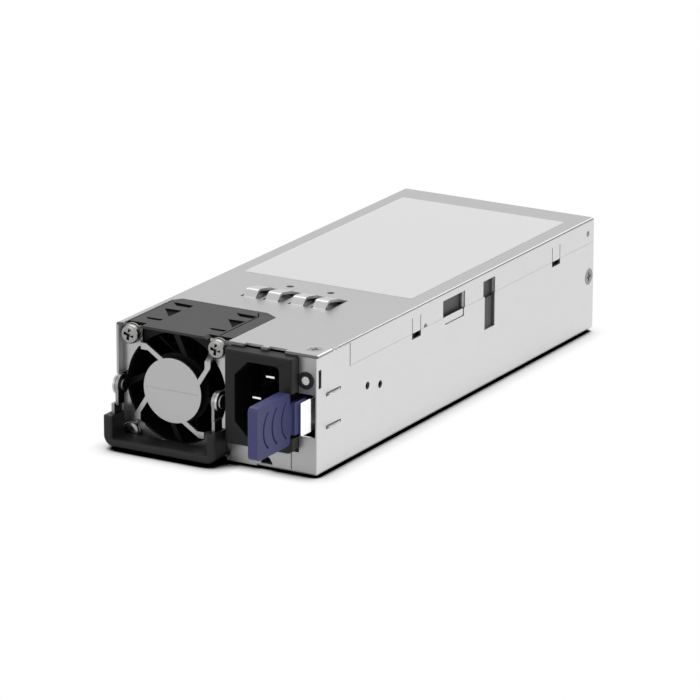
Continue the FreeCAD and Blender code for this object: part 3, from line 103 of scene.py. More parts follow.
def makeLamps():
    for name, lamp in lampTable.items():
        data = bpy.data.lights.new(name, "AREA")
        data.shape = "SQUARE"
        data.size = lamp["size"]
        data.energy = lamp["watts"]
        obj = bpy.data.objects.new(name, data)
        bpy.context.scene.collection.objects.link(obj)
        aim = Vector(lamp["aim"]) - Vector(lamp["place"])
        turn = aim.to_track_quat("-Z", "Y").to_matrix().to_4x4()
        obj.matrix_world = Matrix.Translation(lamp["place"]) @ turn


def addMath(tree, operation, kind="ShaderNodeMath"):
    step = tree.nodes.new(kind)
    step.operation = operation
    return step


def addMix(tree, first, second):
    # a colour mix between two colours, the first left open when it is None
    mix = tree.nodes.new("ShaderNodeMix")
    mix.data_type = "RGBA"
    if first:
        mix.inputs["A"].default_value = (*first, 1)
    mix.inputs["B"].default_value = (*second, 1)
    return mix


def lookedAt(tree):
    # 1 for what the camera, gloss and glass look at, 0 for what only lights the object
    path = tree.nodes.new("ShaderNodeLightPath")
    found = path.outputs["Is Camera Ray"]
    for name in ("Is Glossy Ray", "Is Transmission Ray"):
        either = addMath(tree, "MAXIMUM")
        tree.links.new(found, either.inputs[0])
        tree.links.new(path.outputs[name], either.inputs[1])
        found = either.outputs[0]
    return found


def makeWorld():
    world = bpy.data.worlds.new("studio")
    bpy.context.scene.world = world
    world.use_nodes = True
    tree = world.node_tree
    light = tree.nodes["Background"]
    light.inputs["Color"].default_value = (1, 1, 1, 1)
    light.inputs["Strength"].default_value = studio["worldLight"]
    white = tree.nodes.new("ShaderNodeBackground")
    white.inputs["Color"].default_value = (1, 1, 1, 1)
    white.inputs["Strength"].default_value = 1.0
    mix = tree.nodes.new("ShaderNodeMixShader")
    tree.links.new(lookedAt(tree), mix.inputs[0])
    tree.links.new(light.outputs[0], mix.inputs[1])
    tree.links.new(white.outputs[0], mix.inputs[2])
    tree.links.new(mix.outputs[0], tree.nodes["World Output"].inputs["Surface"])


def nearObject(tree, dark, light):
    # 0 where the object closes the floor off, 1 in the open, by the share of open sky close by
    sky = tree.nodes.new("ShaderNodeAmbientOcclusion")
    sky.inputs["Distance"].default_value = studio["shadowReach"]
    step = tree.nodes.new("ShaderNodeMapRange")
    step.inputs["From Min"].default_value = dark
    step.inputs["From Max"].default_value = light
    tree.links.new(sky.outputs["AO"], step.inputs["Value"])
    return step.outputs["Result"]


def makeFloor():
    bm = bmesh.new()
    bmesh.ops.create_grid(bm, x_segments=1, y_segments=1, size=studio["floorHalf"])
    mesh = bpy.data.meshes.new("floor")
    bm.to_mesh(mesh)
    bm.free()
    floor = bpy.data.objects.new("floor", mesh)
    bpy.context.scene.collection.objects.link(floor)
    floor.location.z = -studio["floorGap"]
    material = bpy.data.materials.new("floorPaint")
    material.use_nodes = True
    tree = material.node_tree
    paint = tree.nodes["Principled BSDF"]
    tone = studio["floorTone"]
    colour = addMix(tree, (0, 0, 0), (tone, tone, tone))
    paint.inputs["Roughness"].default_value = studio["floorRough"]
    paint.inputs["Specular IOR Level"].default_value = 0.0
    white = tree.nodes.new("ShaderNodeEmission")
    share = addMath(tree, "MULTIPLY")
    mix = tree.nodes.new("ShaderNodeMixShader")
    link = tree.links.new
    link(lookedAt(tree), share.inputs[0])
    link(nearObject(tree, *studio["fade"]), share.inputs[1])
    # painted shadow: the floor's colour is mixed towards black where the object closes off the sky
    link(nearObject(tree, *studio["contact"]), colour.inputs["Factor"])
    link(colour.outputs["Result"], paint.inputs["Base Color"])
    link(share.outputs[0], mix.inputs[0])
    link(paint.outputs[0], mix.inputs[1])
    link(white.outputs[0], mix.inputs[2])
    link(mix.outputs[0], tree.nodes["Material Output"].inputs["Surface"])
    mesh.materials.append(material)


makeCamera()
makeLamps()
makeWorld()
makeFloor()
bpy.context.scene.view_settings.view_transform = "Standard"
print("studio ready")

# finishes

grainLook = {"grainDetail": 3.0, "mottleScale": 45.0, "mottleDetail": 4.0,
             "grainShare": 0.6, "mottleShare": 0.4,   # how the two make up the tone
             "roughSwing": 0.05, "bumpDepth": 0.2 * mm, "brightest": 0.95}
facingFull = 0.99   # cosine from which a facing's mask is full


def startGroup(name, inputs, outputs):
    # an empty node group with its sockets, and its two end nodes
    group = bpy.data.node_groups.new(name, "ShaderNodeTree")
    for socket, kind in inputs.items():
        group.interface.new_socket(socket, in_out="INPUT", socket_type="NodeSocket" + kind)
    for socket in outputs:
        group.interface.new_socket(socket, in_out="OUTPUT", socket_type="NodeSocketFloat")
    return group, group.nodes.new("NodeGroupInput"), group.nodes.new("NodeGroupOutput")


def makeGrainGroup():
    # fine grain, stretched along Y when asked, and a slow mottle, both on Object coordinates
    group, inside, outside = startGroup("fineGrain", {"Scale": "Float", "Stretch": "Vector"},
                                        ("Grain", "Mottle"))
    place = group.nodes.new("ShaderNodeTexCoord")
    squeeze = addMath(group, "MULTIPLY", "ShaderNodeVectorMath")
    grain = group.nodes.new("ShaderNodeTexNoise")
    grain.inputs["Detail"].default_value = grainLook["grainDetail"]
    mottle = group.nodes.new("ShaderNodeTexNoise")
    mottle.inputs["Scale"].default_value = grainLook["mottleScale"]
    mottle.inputs["Detail"].default_value = grainLook["mottleDetail"]
    link = group.links.new
    link(place.outputs["Object"], squeeze.inputs[0])
    link(inside.outputs["Stretch"], squeeze.inputs[1])
    link(squeeze.outputs[0], grain.inputs["Vector"])
    link(inside.outputs["Scale"], grain.inputs["Scale"])
    link(place.outputs["Object"], mottle.inputs["Vector"])
    link(grain.outputs["Fac"], outside.inputs["Grain"])
    link(mottle.outputs["Fac"], outside.inputs["Mottle"])
    return group


def makeZoneGroup():
    # 1 inside a slab of the object along a direction, 0 outside, with a soft border
    group, inside, outside = startGroup(
        "zone", {"Direction": "Vector", "Middle": "Float", "Half": "Float", "Soft": "Float"}, ("Mask",))
    place = group.nodes.new("ShaderNodeTexCoord")
    along = addMath(group, "DOT_PRODUCT", "ShaderNodeVectorMath")
    apart, size, past, soft, flip = [addMath(group, operation) for operation in (
        "SUBTRACT", "ABSOLUTE", "SUBTRACT", "DIVIDE", "SUBTRACT")]
    flip.inputs[0].default_value = 1.0
    flip.use_clamp = True
    link = group.links.new
    link(place.outputs["Object"], along.inputs[0])
    link(inside.outputs["Direction"], along.inputs[1])
    link(along.outputs["Value"], apart.inputs[0])
    link(inside.outputs["Middle"], apart.inputs[1])
    link(apart.outputs[0], size.inputs[0])
    link(size.outputs[0], past.inputs[0])
    link(inside.outputs["Half"], past.inputs[1])
    link(past.outputs[0], soft.inputs[0])
    link(inside.outputs["Soft"], soft.inputs[1])
    link(soft.outputs[0], flip.inputs[1])
    link(flip.outputs[0], outside.inputs["Mask"])
    return group


def makeFacingGroup():
    # 1 on faces that look along a direction or against it, 0 on the others
    group, inside, outside = startGroup("facing", {"Direction": "Vector", "Edge": "Float"}, ("Mask",))
    place = group.nodes.new("ShaderNodeTexCoord")
    along = addMath(group, "DOT_PRODUCT", "ShaderNodeVectorMath")
    size = addMath(group, "ABSOLUTE")
    ramp = group.nodes.new("ShaderNodeMapRange")
    ramp.inputs["From Max"].default_value = facingFull
    link = group.links.new
    link(place.outputs["Normal"], along.inputs[0])
    link(inside.outputs["Direction"], along.inputs[1])
    link(along.outputs["Value"], size.inputs[0])
    link(size.outputs[0], ramp.inputs["Value"])
    link(inside.outputs["Edge"], ramp.inputs["From Min"])
    link(ramp.outputs["Result"], outside.inputs["Mask"])
    return group


grainGroup = makeGrainGroup()
zoneGroup = makeZoneGroup()
facingGroup = makeFacingGroup()

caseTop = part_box("fan_shroud")[1].z   # the cover's upper face
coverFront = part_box("top_cover")[0].y
sheetThick = 0.8 * mm
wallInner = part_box("chassis_tray")[0].x + sheetThick
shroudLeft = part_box("fan_shroud")[0].x

plainFinish = {"metal": 0.0, "stretch": (1, 1, 1), "gloss": 0.5, "paintedLightAndShade": ()}

finishTable = {
    "caseSteel": {"color": (0.70, 0.70, 0.70), "metal": 0.85, "rough": 0.34, "scale": 900,
                  "stretch": (1, 0.12, 1), "spread": 0.04, "bump": 0.04,
                  # painted shade: the case's faces that look along Y are darker
                  "paintedLightAndShade": [{"direction": (0, 1, 0), "edge": 0.75, "color": (0.38, 0.38, 0.38)},
                            # painted shade: the left wall's inner face is darker and dull, standing in
                            # for the shade of the gap beside the fan
                            {"direction": (1, 0, 0), "middle": wallInner, "half": 0.06 * mm,
                             "soft": 0.04 * mm, "color": (0.42, 0.42, 0.42), "metal": 0.0}]},
    "coverSteel": {"color": (0.70, 0.70, 0.70), "metal": 0.85, "rough": 0.34, "scale": 900,
                   "stretch": (1, 0.12, 1), "spread": 0.04, "bump": 0.04,
                   # painted shade: the cover's top face is darker than its flanks
                   "paintedLightAndShade": [{"direction": (0, 0, 1), "middle": caseTop, "half": 0.04 * mm,
                              "soft": 0.03 * mm, "color": (0.41, 0.41, 0.41)},
                             # painted shade: the raised louvres above the top are toned down
                             {"direction": (0, 0, 1), "middle": caseTop + 2 * mm, "half": 1.7 * mm,
                              "soft": 0.2 * mm, "color": (0.50, 0.50, 0.50)},
                             # painted shade: a dark band along the cover's front edge
                             {"direction": (0, 1, 0), "middle": coverFront, "half": 0.55 * mm,
                              "soft": 0.2 * mm, "color": (0.10, 0.10, 0.10)},
                             # painted highlight: faces turned up between top and flank are near white
                             {"direction": (0.5, 0, 0.866), "edge": 0.90, "color": (0.95, 0.95, 0.95)},
                             # painted shade: a dark line on the faces just below that bend
                             {"direction": (0.92, 0, 0.39), "edge": 0.95, "color": (0.22, 0.22, 0.22)}]},
    "guardSteel": {"color": (0.44, 0.44, 0.44), "metal": 0.9, "rough": 0.3, "scale": 1200,
                   "spread": 0.05, "bump": 0.04,
                   # painted shade: the guard's faces that look along X, the ears' sides, are near black
                   "paintedLightAndShade": [{"direction": (1, 0, 0), "edge": 0.75, "color": (0.05, 0.05, 0.05)}]},
    "screwSteel": {"color": (0.30, 0.30, 0.295), "metal": 1.0, "rough": 0.26, "scale": 1800,
                   "spread": 0.05, "bump": 0.03},
    "strapSteel": {"color": (0.28, 0.28, 0.28), "metal": 0.9, "rough": 0.33, "scale": 1200,
                   "stretch": (1, 1, 0.2), "spread": 0.08, "bump": 0.05,
                   # painted shade: the strap's faces that look along X are near black, its edges left
                   # bright
                   "paintedLightAndShade": [{"direction": (1, 0, 0), "edge": 0.75, "color": (0.03, 0.03, 0.03)}]},
    "springSteel": {"color": (0.66, 0.66, 0.66), "metal": 0.85, "rough": 0.3, "scale": 1200,
                    "stretch": (1, 0.15, 1), "spread": 0.03, "bump": 0.03,
                    # painted highlight: the latch spring's front is made near white, and lit by emission
                    # too
                    "paintedLightAndShade": [{"direction": (0, 1, 0), "middle": frontY, "half": 4.6 * mm,
                               "soft": 0.5 * mm, "color": (0.93, 0.93, 0.93)}], "paintedGlow": 1.0},
    "blackPlastic": {"color": (0.020, 0.020, 0.0205), "rough": 0.5, "scale": 2600,
                     "spread": 0.12, "bump": 0.12, "gloss": 0.14,
                     # painted light: black plastic faces that look along X are a little lighter
                     "paintedLightAndShade": [{"direction": (1, 0, 0), "edge": 0.8, "color": (0.05, 0.05, 0.051)}]},
    "fanPlastic": {"color": (0.006, 0.006, 0.0062), "rough": 0.5, "scale": 2600,
                   "spread": 0.12, "bump": 0.08, "gloss": 0.14},
    # painted shade: the near-black finish given to recesses, slots and hidden parts
    "paintedShadeBlack": {"color": (0.008, 0.008, 0.008), "rough": 0.7, "scale": 2600,
                  "spread": 0.2, "bump": 0.1, "gloss": 0.05},
    "shroudPlastic": {"color": (0.030, 0.030, 0.031), "rough": 0.52, "scale": 2600,
                      "spread": 0.08, "bump": 0.12, "gloss": 0.28,
                      # painted shade: a near black strip along the shroud's left edge, standing in for
                      # the gap beside the wall
                      "paintedLightAndShade": [{"direction": (1, 0, 0), "middle": shroudLeft, "half": 0.8 * mm,
                                 "soft": 0.2 * mm, "color": (0.002, 0.002, 0.002)}]},
    "gripPlastic": {"color": (0.013, 0.013, 0.0135), "rough": 0.46, "scale": 2600,
                    "spread": 0.12, "bump": 0.14, "gloss": 0.24},
    "tabPlastic": {"color": (0.040, 0.043, 0.150), "rough": 0.45, "scale": 2400,
                   "spread": 0.05, "bump": 0.08, "gloss": 0.4},
    "labelFilm": {"color": (0.72, 0.72, 0.72), "rough": 0.5, "scale": 2400,
                  "spread": 0.012, "bump": 0.03, "gloss": 0.3},
    "baffleFilm": {"color": (0.32, 0.32, 0.32), "rough": 0.5, "scale": 1500,
                   "spread": 0.05, "bump": 0.05, "gloss": 0.3},
    "paintedGrooveShade": {"color": (0.010, 0.010, 0.045), "rough": 0.5, "scale": 2400,
                  "spread": 0.05, "bump": 0.08, "gloss": 0.2},
    "linerFilm": {"color": (0.068, 0.068, 0.070), "rough": 0.5, "scale": 1500,
                  "spread": 0.1, "bump": 0.06},
    "boardGreen": {"color": (0.012, 0.09, 0.035), "rough": 0.35, "scale": 1500,
                   "spread": 0.15, "bump": 0.06},
    "gold": {"color": (0.85, 0.62, 0.25), "metal": 1.0, "rough": 0.25, "scale": 1800,
             "spread": 0.05, "bump": 0.02},
    # painted highlight and shade: the contacts are near black, and their faces that look along Y are
    # near white
    "contactMetal": {"color": (0.05, 0.05, 0.05), "metal": 0.9, "rough": 0.3, "scale": 1800,
                     "stretch": (1, 0.2, 1), "spread": 0.04, "bump": 0.02,
                     "paintedLightAndShade": [{"direction": (0, 1, 0), "edge": 0.9, "color": (0.9, 0.9, 0.88)}]},
    "brass": {"color": (0.6, 0.48, 0.25), "metal": 1.0, "rough": 0.3, "scale": 1800,
              "spread": 0.06, "bump": 0.03},
    "ferrite": {"color": (0.05, 0.05, 0.052), "metal": 0.1, "rough": 0.6, "scale": 1200,
                "spread": 0.2, "bump": 0.2},
    "windingTape": {"color": (0.62, 0.42, 0.05), "rough": 0.4, "scale": 900,
                    "stretch": (0.2, 0.2, 1), "spread": 0.08, "bump": 0.08},
    "aluminium": {"color": (0.7, 0.71, 0.72), "metal": 1.0, "rough": 0.35, "scale": 1000,
                  "stretch": (1, 1, 0.15), "spread": 0.06, "bump": 0.05},
    "capSleeve": {"color": (0.02, 0.022, 0.03), "rough": 0.3, "scale": 1200,
                  "spread": 0.1, "bump": 0.03},
    "filmBox": {"color": (0.16, 0.15, 0.13), "rough": 0.35, "scale": 1500,
                "spread": 0.06, "bump": 0.05},
    "ceramicDisc": {"color": (0.04, 0.12, 0.35), "rough": 0.35, "scale": 1500,
                    "spread": 0.08, "bump": 0.08},
    "wireSleeve": {"color": (0.02, 0.02, 0.021), "rough": 0.45, "scale": 1800,
                   "spread": 0.1, "bump": 0.05},
}


def placeMask(tree, paintedTone):
    # the mask of a zone or of a facing where light or shade is painted, with its own values
    mask = tree.nodes.new("ShaderNodeGroup")
    mask.node_tree = zoneGroup if "middle" in paintedTone else facingGroup
    for name, value in paintedTone.items():
        if name not in ("color", "metal"):
            mask.inputs[name.capitalize()].default_value = value
    return mask.outputs["Mask"]


def makeFinish(name):
    look = {**plainFinish, **finishTable[name]}
    material = bpy.data.materials.new(name)
    material.use_nodes = True
    tree = material.node_tree
    link = tree.links.new
    shader = tree.nodes["Principled BSDF"]
    shader.inputs["Metallic"].default_value = look["metal"]
    shader.inputs["Specular IOR Level"].default_value = look["gloss"]
    grain = tree.nodes.new("ShaderNodeGroup")
    grain.node_tree = grainGroup
    grain.inputs["Scale"].default_value = look["scale"]
    grain.inputs["Stretch"].default_value = look["stretch"]
    low, high = 1 - look["spread"], 1 + look["spread"]
    tone = addMix(tree, [part * low for part in look["color"]],
                  [min(part * high, grainLook["brightest"]) for part in look["color"]])
    blend = addMath(tree, "MULTIPLY_ADD")
    blend.inputs[1].default_value = grainLook["grainShare"]
    slow = addMath(tree, "MULTIPLY")
    slow.inputs[1].default_value = grainLook["mottleShare"]
    link(grain.outputs["Mottle"], slow.inputs[0])
    link(grain.outputs["Grain"], blend.inputs[0])
    link(slow.outputs[0], blend.inputs[2])
    link(blend.outputs[0], tone.inputs["Factor"])
    colour = tone.outputs["Result"]
    # painted light and shade: each mask mixes a lighter or darker colour into the tone, standing in for
    # light and shade
    for paintedTone in look["paintedLightAndShade"]:
        mask = placeMask(tree, paintedTone)
        part = addMix(tree, None, paintedTone["color"])
        link(mask, part.inputs["Factor"])
        link(colour, part.inputs["A"])
        colour = part.outputs["Result"]
        if "metal" in paintedTone:   # dull there
            dull = tree.nodes.new("ShaderNodeMapRange")
            dull.inputs["To Min"].default_value = look["metal"]
            dull.inputs["To Max"].default_value = paintedTone["metal"]
            link(mask, dull.inputs["Value"])
            link(dull.outputs["Result"], shader.inputs["Metallic"])
    if "paintedGlow" in look:   # painted highlight: the spring's first painted zone is also fed to emission, so its front shines bright in its slot though it is no lamp
        paintedTone = look["paintedLightAndShade"][0]
        light = addMix(tree, (0, 0, 0), paintedTone["color"])
        link(placeMask(tree, paintedTone), light.inputs["Factor"])
        link(light.outputs["Result"], shader.inputs["Emission Color"])
        shader.inputs["Emission Strength"].default_value = look["paintedGlow"]
    link(colour, shader.inputs["Base Color"])
    rough = tree.nodes.new("ShaderNodeMapRange")
    rough.inputs["To Min"].default_value = look["rough"] - grainLook["roughSwing"]
    rough.inputs["To Max"].default_value = look["rough"] + grainLook["roughSwing"]
    link(grain.outputs["Mottle"], rough.inputs["Value"])
    link(rough.outputs["Result"], shader.inputs["Roughness"])
    bump = tree.nodes.new("ShaderNodeBump")
    bump.inputs["Strength"].default_value = look["bump"]
    bump.inputs["Distance"].default_value = grainLook["bumpDepth"]
    link(grain.outputs["Grain"], bump.inputs["Height"])
    link(bump.outputs["Normal"], shader.inputs["Normal"])
    return material


finish = {name: makeFinish(name) for name in finishTable}


clearTable = {
    "clearPipe": {"color": (0.90, 0.90, 0.88), "rough": 0.3, "clear": 0.05},
    "fuseGlass": {"color": (0.9, 0.92, 0.9), "rough": 0.05, "clear": 0.8},
}
clearBend = 1.49   # index of refraction


def makeClear(name, color, rough, clear):
    material = bpy.data.materials.new(name)
    material.use_nodes = True
    shader = material.node_tree.nodes["Principled BSDF"]
    shader.inputs["Base Color"].default_value = (*color, 1)
    shader.inputs["Roughness"].default_value = rough
    shader.inputs["Transmission Weight"].default_value = clear
    shader.inputs["IOR"].default_value = clearBend
    return material


for name, look in clearTable.items():
    finish[name] = makeClear(name, **look)

finishOfSlot = {
    "case_steel": "caseSteel", "cover_steel": "coverSteel", "guard_steel": "guardSteel",
    "screw_steel": "screwSteel", "strap_steel": "strapSteel", "spring_steel": "springSteel",
    "black_plastic": "blackPlastic", "grip_plastic": "gripPlastic", "tab_plastic": "tabPlastic",
    "liner_film": "linerFilm", "board_green": "boardGreen", "gold": "gold",
    "contact_metal": "contactMetal", "bearing_brass": "brass", "stator_iron": "ferrite",
    "winding_tape": "windingTape", "heatsink_aluminium": "aluminium",
    "capacitor_sleeve": "capSleeve", "film_box": "filmBox", "ceramic_disc": "ceramicDisc",
    "semiconductor": "blackPlastic", "clear_pipe": "clearPipe", "glass_tube": "fuseGlass",
    "wire_sleeve": "wireSleeve",
}
slotOfNode = {part["node"]: part["material_slot"] for part in frame["record"]["subparts"]}
bodies = frame["record"]["behaviour"]["bodies"]
bodyOfNode = {name: body for body, names in bodies.items() for name in names}


def dressNodes():
    for name, obj in nodes.items():
        obj.data.materials.clear()
        obj.data.materials.append(finish[finishOfSlot[slotOfNode[name]]])


dressNodes()
print("finishes ready:", len(finish))

# helpers for pieces

rimAngle = 0.5   # radians: flatter edges aren't rounded
rimSteps = 5


def addPiece(name, bm, body, finishNames, bevel=0.0, angle=sharpAngle, stands=()):
    mesh = bpy.data.meshes.new(name)
    bm.to_mesh(mesh)
    bm.free()
    for polygon in mesh.polygons:
        polygon.use_smooth = True
    mesh.set_sharp_from_angle(angle=math.radians(angle))
    piece = bpy.data.objects.new(name, mesh)
    bpy.context.scene.collection.objects.link(piece)
    for finishName in finishNames:
        mesh.materials.append(finish[finishName])
    if bevel:
        rounded = piece.modifiers.new("edges", "BEVEL")
        rounded.width = bevel
        rounded.segments = 2
        rounded.limit_method = "ANGLE"
        rounded.angle_limit = math.radians(angle)
        flat = piece.modifiers.new("flatFaces", "WEIGHTED_NORMAL")
        flat.keep_sharp = True
    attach(piece, body)
    if stands:
        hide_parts(*stands)
    return piece


def roundEdges(bm, test, width, steps, clamp):
    # rounds the edges whose two ends and middle pass the test
    edges = [edge for edge in bm.edges if edge.calc_face_angle(0) > rimAngle
             and test(edge.verts[0].co) and test(edge.verts[1].co)
             and test((edge.verts[0].co + edge.verts[1].co) / 2)]
    bmesh.ops.bevel(bm, geom=edges, offset=width, segments=steps, profile=0.5, affect="EDGES",
                    material=-1, clamp_overlap=clamp)


def softCopy(node, look):
    # a CAD node's shape with its edges broken as a press or a mould leaves them
    bm = bmesh.new()
    bm.from_mesh(nodes[node].data)
    bmesh.ops.remove_doubles(bm, verts=bm.verts, dist=weld)
    bmesh.ops.dissolve_limit(bm, angle_limit=math.radians(flatAngle), verts=bm.verts, edges=bm.edges)
    if "rim" in look:
        roundEdges(bm, look["rim"], look["rimWidth"], rimSteps, look.get("clamp", True))
    names = [look.get("finish") or finishOfSlot[slotOfNode[node]]]
    # painted shade: faces that pass the dark test take a near-black finish
    if "dark" in look:
        names.append(look.get("darkFinish", "paintedShadeBlack"))
        for face in bm.faces:
            face.material_index = int(look["dark"](face.calc_center_median(), face.normal))
    return addPiece(node + "_finished", bm, bodyOfNode[node], names,
                    look["bevel"], stands=(node,))


# tests that choose the faces of the painted-shade dark finish and the edges to round

rivetLow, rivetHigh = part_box("bail_rivets")
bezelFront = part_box("inlet_body")[0].y
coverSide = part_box("top_cover")[1].x
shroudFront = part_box("fan_shroud")[0].y
sprungBehind = 20.0   # the latch spring is painted black from here back, as painted shade inside the case
groove = {"face": 29.75, "from": 0.1, "to": 0.95, "rear": -6.0, "half": 5.9,
          "middle": sum(corner.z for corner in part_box("latch_tab")) / 2}
recess = {"under": 0.05, "front": 3.0}
socket = {"left": 9.1, "right": 25.3, "low": 9.8, "high": 34.9, "front": 0.3}


def behindLatch(at, normal):
    return at.y > frontY + sprungBehind * mm


def inGroove(at, normal):
    # the floors of the tab's curved grip grooves, painted darker as shade
    deep = groove["face"] * mm - at.x
    inside = groove["from"] * mm < deep < groove["to"] * mm and at.y < frontY + groove["rear"] * mm
    return inside and abs(at.z - groove["middle"]) < groove["half"] * mm and abs(normal.x) > 0.5


def onRivetRim(at):
    return min(at.x - rivetLow.x, rivetHigh.x - at.x) < near


def onCoverBend(at):
    # the long bends between the cover's top and its side flanges
    return abs(at.x) > coverSide - near and abs(at.z - caseTop) < near


# shroud faces down in its recesses, painted near black as shade
def inShroudRecess(at, normal):
    return at.z < caseTop - recess["under"] * mm and at.y > shroudFront + recess["front"] * mm


# the inlet's socket faces behind its front, painted near black as shade
def inSocket(at, normal):
    across = socket["left"] * mm < at.x < socket["right"] * mm
    up = socket["low"] * mm < at.z < socket["high"] * mm
    return across and up and at.y > bezelFront + socket["front"] * mm


softTable = {
    "chassis_tray": {"bevel": 0.14 * mm},
    "top_cover": {"bevel": 0.12 * mm, "rim": onCoverBend, "rimWidth": 0.7 * mm, "clamp": False},
    "rear_panel": {"bevel": 0.12 * mm},
    "fan_guard": {"bevel": 0.16 * mm},
    "fan_shroud": {"bevel": 0.10 * mm, "finish": "shroudPlastic", "dark": inShroudRecess},
    "fan_frame": {"bevel": 0.12 * mm, "finish": "fanPlastic"},
    "fan_rotor": {"bevel": 0.10 * mm, "finish": "fanPlastic"},
    "fan_flat_washers": {"bevel": 0.08 * mm},
    "fan_lock_washers": {"bevel": 0.08 * mm},
    "cover_screws": {"bevel": 0.06 * mm},
    "bail_strap": {"bevel": 0.14 * mm},
    "bail_grip": {"bevel": 0.25 * mm},
    "bail_rivets": {"bevel": 0.08 * mm, "rim": onRivetRim, "rimWidth": 0.4 * mm},
    "inlet_body": {"bevel": 0.22 * mm, "dark": inSocket},
    "inlet_blades": {"bevel": 0.20 * mm},
    "latch_spring": {"bevel": 0.10 * mm, "dark": behindLatch},
    "latch_tab": {"bevel": 0.14 * mm, "dark": inGroove, "darkFinish": "paintedGrooveShade"},
    "led_holder": {"bevel": 0.2 * mm},
    "main_board": {"bevel": 0.08 * mm},
}


for name, look in softTable.items():
    softCopy(name, look)
print("carried shapes finished:", len(softTable))

# pan head fan screws with domed heads and crossed recesses

panScrew = {"headRadius": 3.15, "headTall": 1.8, "dome": 1.0, "steps": 6, "sides": 40,
            "shankRadius": 1.5, "shankSides": 24, "slotLong": 3.7, "slotWide": 1.0, "slotDeep": 1.15,
            "close": 0.05, "angle": 25, "turns": (12, 8, 40, 65)}


def spareObject(name, bm):
    mesh = bpy.data.meshes.new(name)
    bm.to_mesh(mesh)
    bm.free()
    spare = bpy.data.objects.new(name, mesh)
    bpy.context.scene.collection.objects.link(spare)
    return spare


def inCross(at):
    # the floor and walls of a screw head's crossed slots, painted near black as shade
    plan = panScrew
    within = math.hypot(at.x, at.z) < (plan["slotLong"] / 2 + plan["close"]) * mm
    beside = min(abs(at.x), abs(at.z)) < plan["slotWide"] * mm
    deep = plan["close"] * mm < at.y < (plan["slotDeep"] + plan["close"]) * mm
    return within and beside and deep


def makePanScrew(long):
    # one screw from the origin along +y, its head cut by two crossed slots
    plan = panScrew
    upright = Matrix.Rotation(math.radians(90), 4, "X")
    bm = bmesh.new()
    radius = plan["headRadius"] * mm
    bmesh.ops.create_cone(bm, cap_ends=True, segments=plan["sides"], radius1=radius, radius2=radius,
                          depth=plan["headTall"] * mm, matrix=upright)
    bmesh.ops.translate(bm, vec=(0, plan["headTall"] / 2 * mm, 0), verts=bm.verts)
    rim = [edge for edge in bm.edges if all(vert.co.y < near for vert in edge.verts)]
    bmesh.ops.bevel(bm, geom=rim, offset=plan["dome"] * mm, segments=plan["steps"], profile=0.5,
                    affect="EDGES", material=-1)
    head = spareObject("panHead", bm)
    cutters = []
    for tall, wide in ((plan["slotLong"], plan["slotWide"]), (plan["slotWide"], plan["slotLong"])):
        bm = bmesh.new()
        bmesh.ops.create_cube(bm, size=mm)
        bmesh.ops.scale(bm, vec=(wide, 2 * plan["slotDeep"], tall), verts=bm.verts)
        cutters.append(spareObject("slotCutter", bm))
        cut = head.modifiers.new("recess", "BOOLEAN")
        cut.operation = "DIFFERENCE"
        cut.object = cutters[-1]
    bpy.context.view_layer.update()
    graph = bpy.context.evaluated_depsgraph_get()
    shape = bpy.data.meshes.new_from_object(head.evaluated_get(graph))
    for spare in (head, *cutters):
        bpy.data.objects.remove(spare)
    bm = bmesh.new()
    bm.from_mesh(shape)
    bmesh.ops.triangulate(bm, faces=bm.faces)
    # painted shade: the crossed slots take the near-black finish
    for face in bm.faces:
        face.material_index = int(inCross(face.calc_center_median()))
    shank = long - plan["headTall"] * mm / 2
    radius = plan["shankRadius"] * mm
    bmesh.ops.create_cone(bm, cap_ends=True, segments=plan["shankSides"], radius1=radius,
                          radius2=radius, depth=shank,
                          matrix=Matrix.Translation((0, long - shank / 2, 0)) @ upright)
    bm.to_mesh(shape)
    bm.free()
    return shape


def makeFanScrews():
    low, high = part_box("fan_screws")
    screw = makePanScrew(high.y - low.y)
    inset = panScrew["headRadius"] * mm
    places = [(x, z) for z in (high.z - inset, low.z + inset) for x in (low.x + inset, high.x - inset)]
    bm = bmesh.new()
    for (x, z), turn in zip(places, panScrew["turns"]):
        spin = Matrix.Rotation(math.radians(turn), 4, "Y")
        placed = screw.copy()
        placed.transform(Matrix.Translation((x, low.y, z)) @ spin)
        bm.from_mesh(placed)
    addPiece("fan_pan_screws", bm, "case", ["screwSteel", "paintedShadeBlack"],
             angle=panScrew["angle"], stands=("fan_screws",))


makeFanScrews()
print("fan screws ready")

# bare rating label on the cover

labelPlan = {"left": -31.5, "right": 31.0, "front": 69.3, "rear": 174.5, "thick": 0.05,
             "corner": 1.0, "steps": 5}


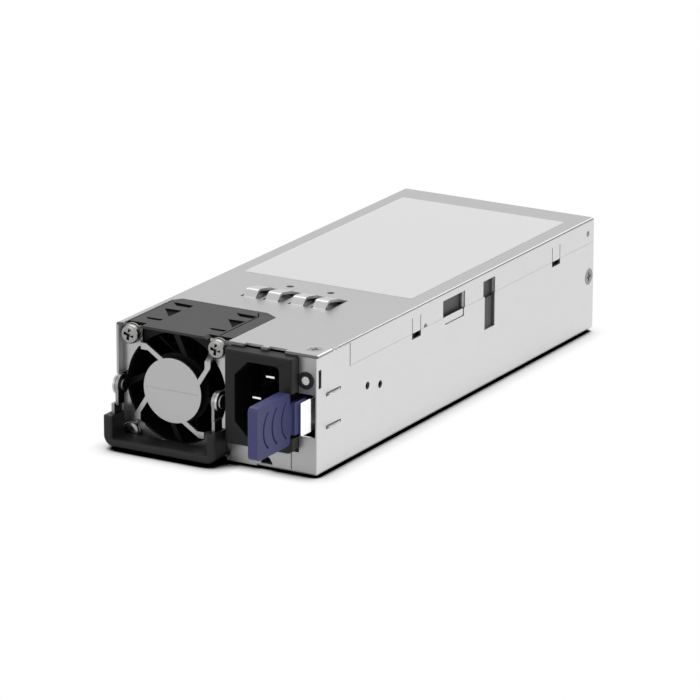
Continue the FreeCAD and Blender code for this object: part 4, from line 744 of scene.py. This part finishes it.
def makeLabel():
    plan = labelPlan
    bm = bmesh.new()
    bmesh.ops.create_grid(bm, x_segments=1, y_segments=1, size=0.5)
    wide = (plan["right"] - plan["left"]) * mm
    long = (plan["rear"] - plan["front"]) * mm
    bmesh.ops.scale(bm, vec=(wide, long, 1), verts=bm.verts)
    bmesh.ops.bevel(bm, geom=bm.verts, offset=plan["corner"] * mm, segments=plan["steps"], profile=0.5,
                    affect="VERTICES", material=-1)
    sheet = bmesh.ops.extrude_face_region(bm, geom=bm.faces[:])
    lifted = [item for item in sheet["geom"] if isinstance(item, bmesh.types.BMVert)]
    bmesh.ops.translate(bm, vec=(0, 0, plan["thick"] * mm), verts=lifted)
    x = (plan["left"] + plan["right"]) / 2 * mm
    y = frontY + (plan["front"] + plan["rear"]) / 2 * mm
    bmesh.ops.translate(bm, vec=(x, y, caseTop), verts=bm.verts)
    bmesh.ops.recalc_face_normals(bm, faces=bm.faces)
    addPiece("rating_label", bm, "case", ["labelFilm"])


makeLabel()
print("label ready")

# films behind the case's openings and a sill in its front window

filmPlan = {
    "window_film": {"low": (34.8, 72.0, 12.0), "high": (34.95, 128.0, 37.0), "corner": 1.5,
                    "finish": "linerFilm", "slot": "liner_film"},
    "lower_window_film": {"low": (35.55, 103.0, 12.0), "high": (35.75, 119.0, 29.6), "corner": 1.5,
                          "finish": "linerFilm", "slot": "liner_film"},
    "air_baffle_film": {"low": (-30.0, 41.5, 36.4), "high": (31.0, 60.0, 36.6), "corner": 1.5,
                        "finish": "baffleFilm", "slot": "liner_film"},
    "window_sill": {"low": (36.25, 81.7, 28.2), "high": (36.55, 93.8, 30.55), "corner": 0.8,
                    "finish": "caseSteel", "slot": "case_steel"},
}
filmBevel = 0.03 * mm
filmSteps = 4


def makeFilm(name):
    plan = filmPlan[name]
    bm = bmesh.new()
    bmesh.ops.create_cube(bm, size=1)
    low, high = Vector(plan["low"]) * mm, Vector(plan["high"]) * mm
    size = high - low
    bmesh.ops.scale(bm, vec=size, verts=bm.verts)
    bmesh.ops.translate(bm, vec=(low + high) / 2 + Vector((0, frontY, 0)), verts=bm.verts)
    thin = min(range(3), key=lambda axis: size[axis])
    corners = [edge for edge in bm.edges
               if abs(edge.verts[0].co[thin] - edge.verts[1].co[thin]) > size[thin] / 2]
    bmesh.ops.bevel(bm, geom=corners, offset=plan["corner"] * mm, segments=filmSteps, profile=0.5,
                    affect="EDGES", material=-1)
    addPiece(name, bm, "case", [plan["finish"]], filmBevel)


for name in filmPlan:
    makeFilm(name)
print("films ready")
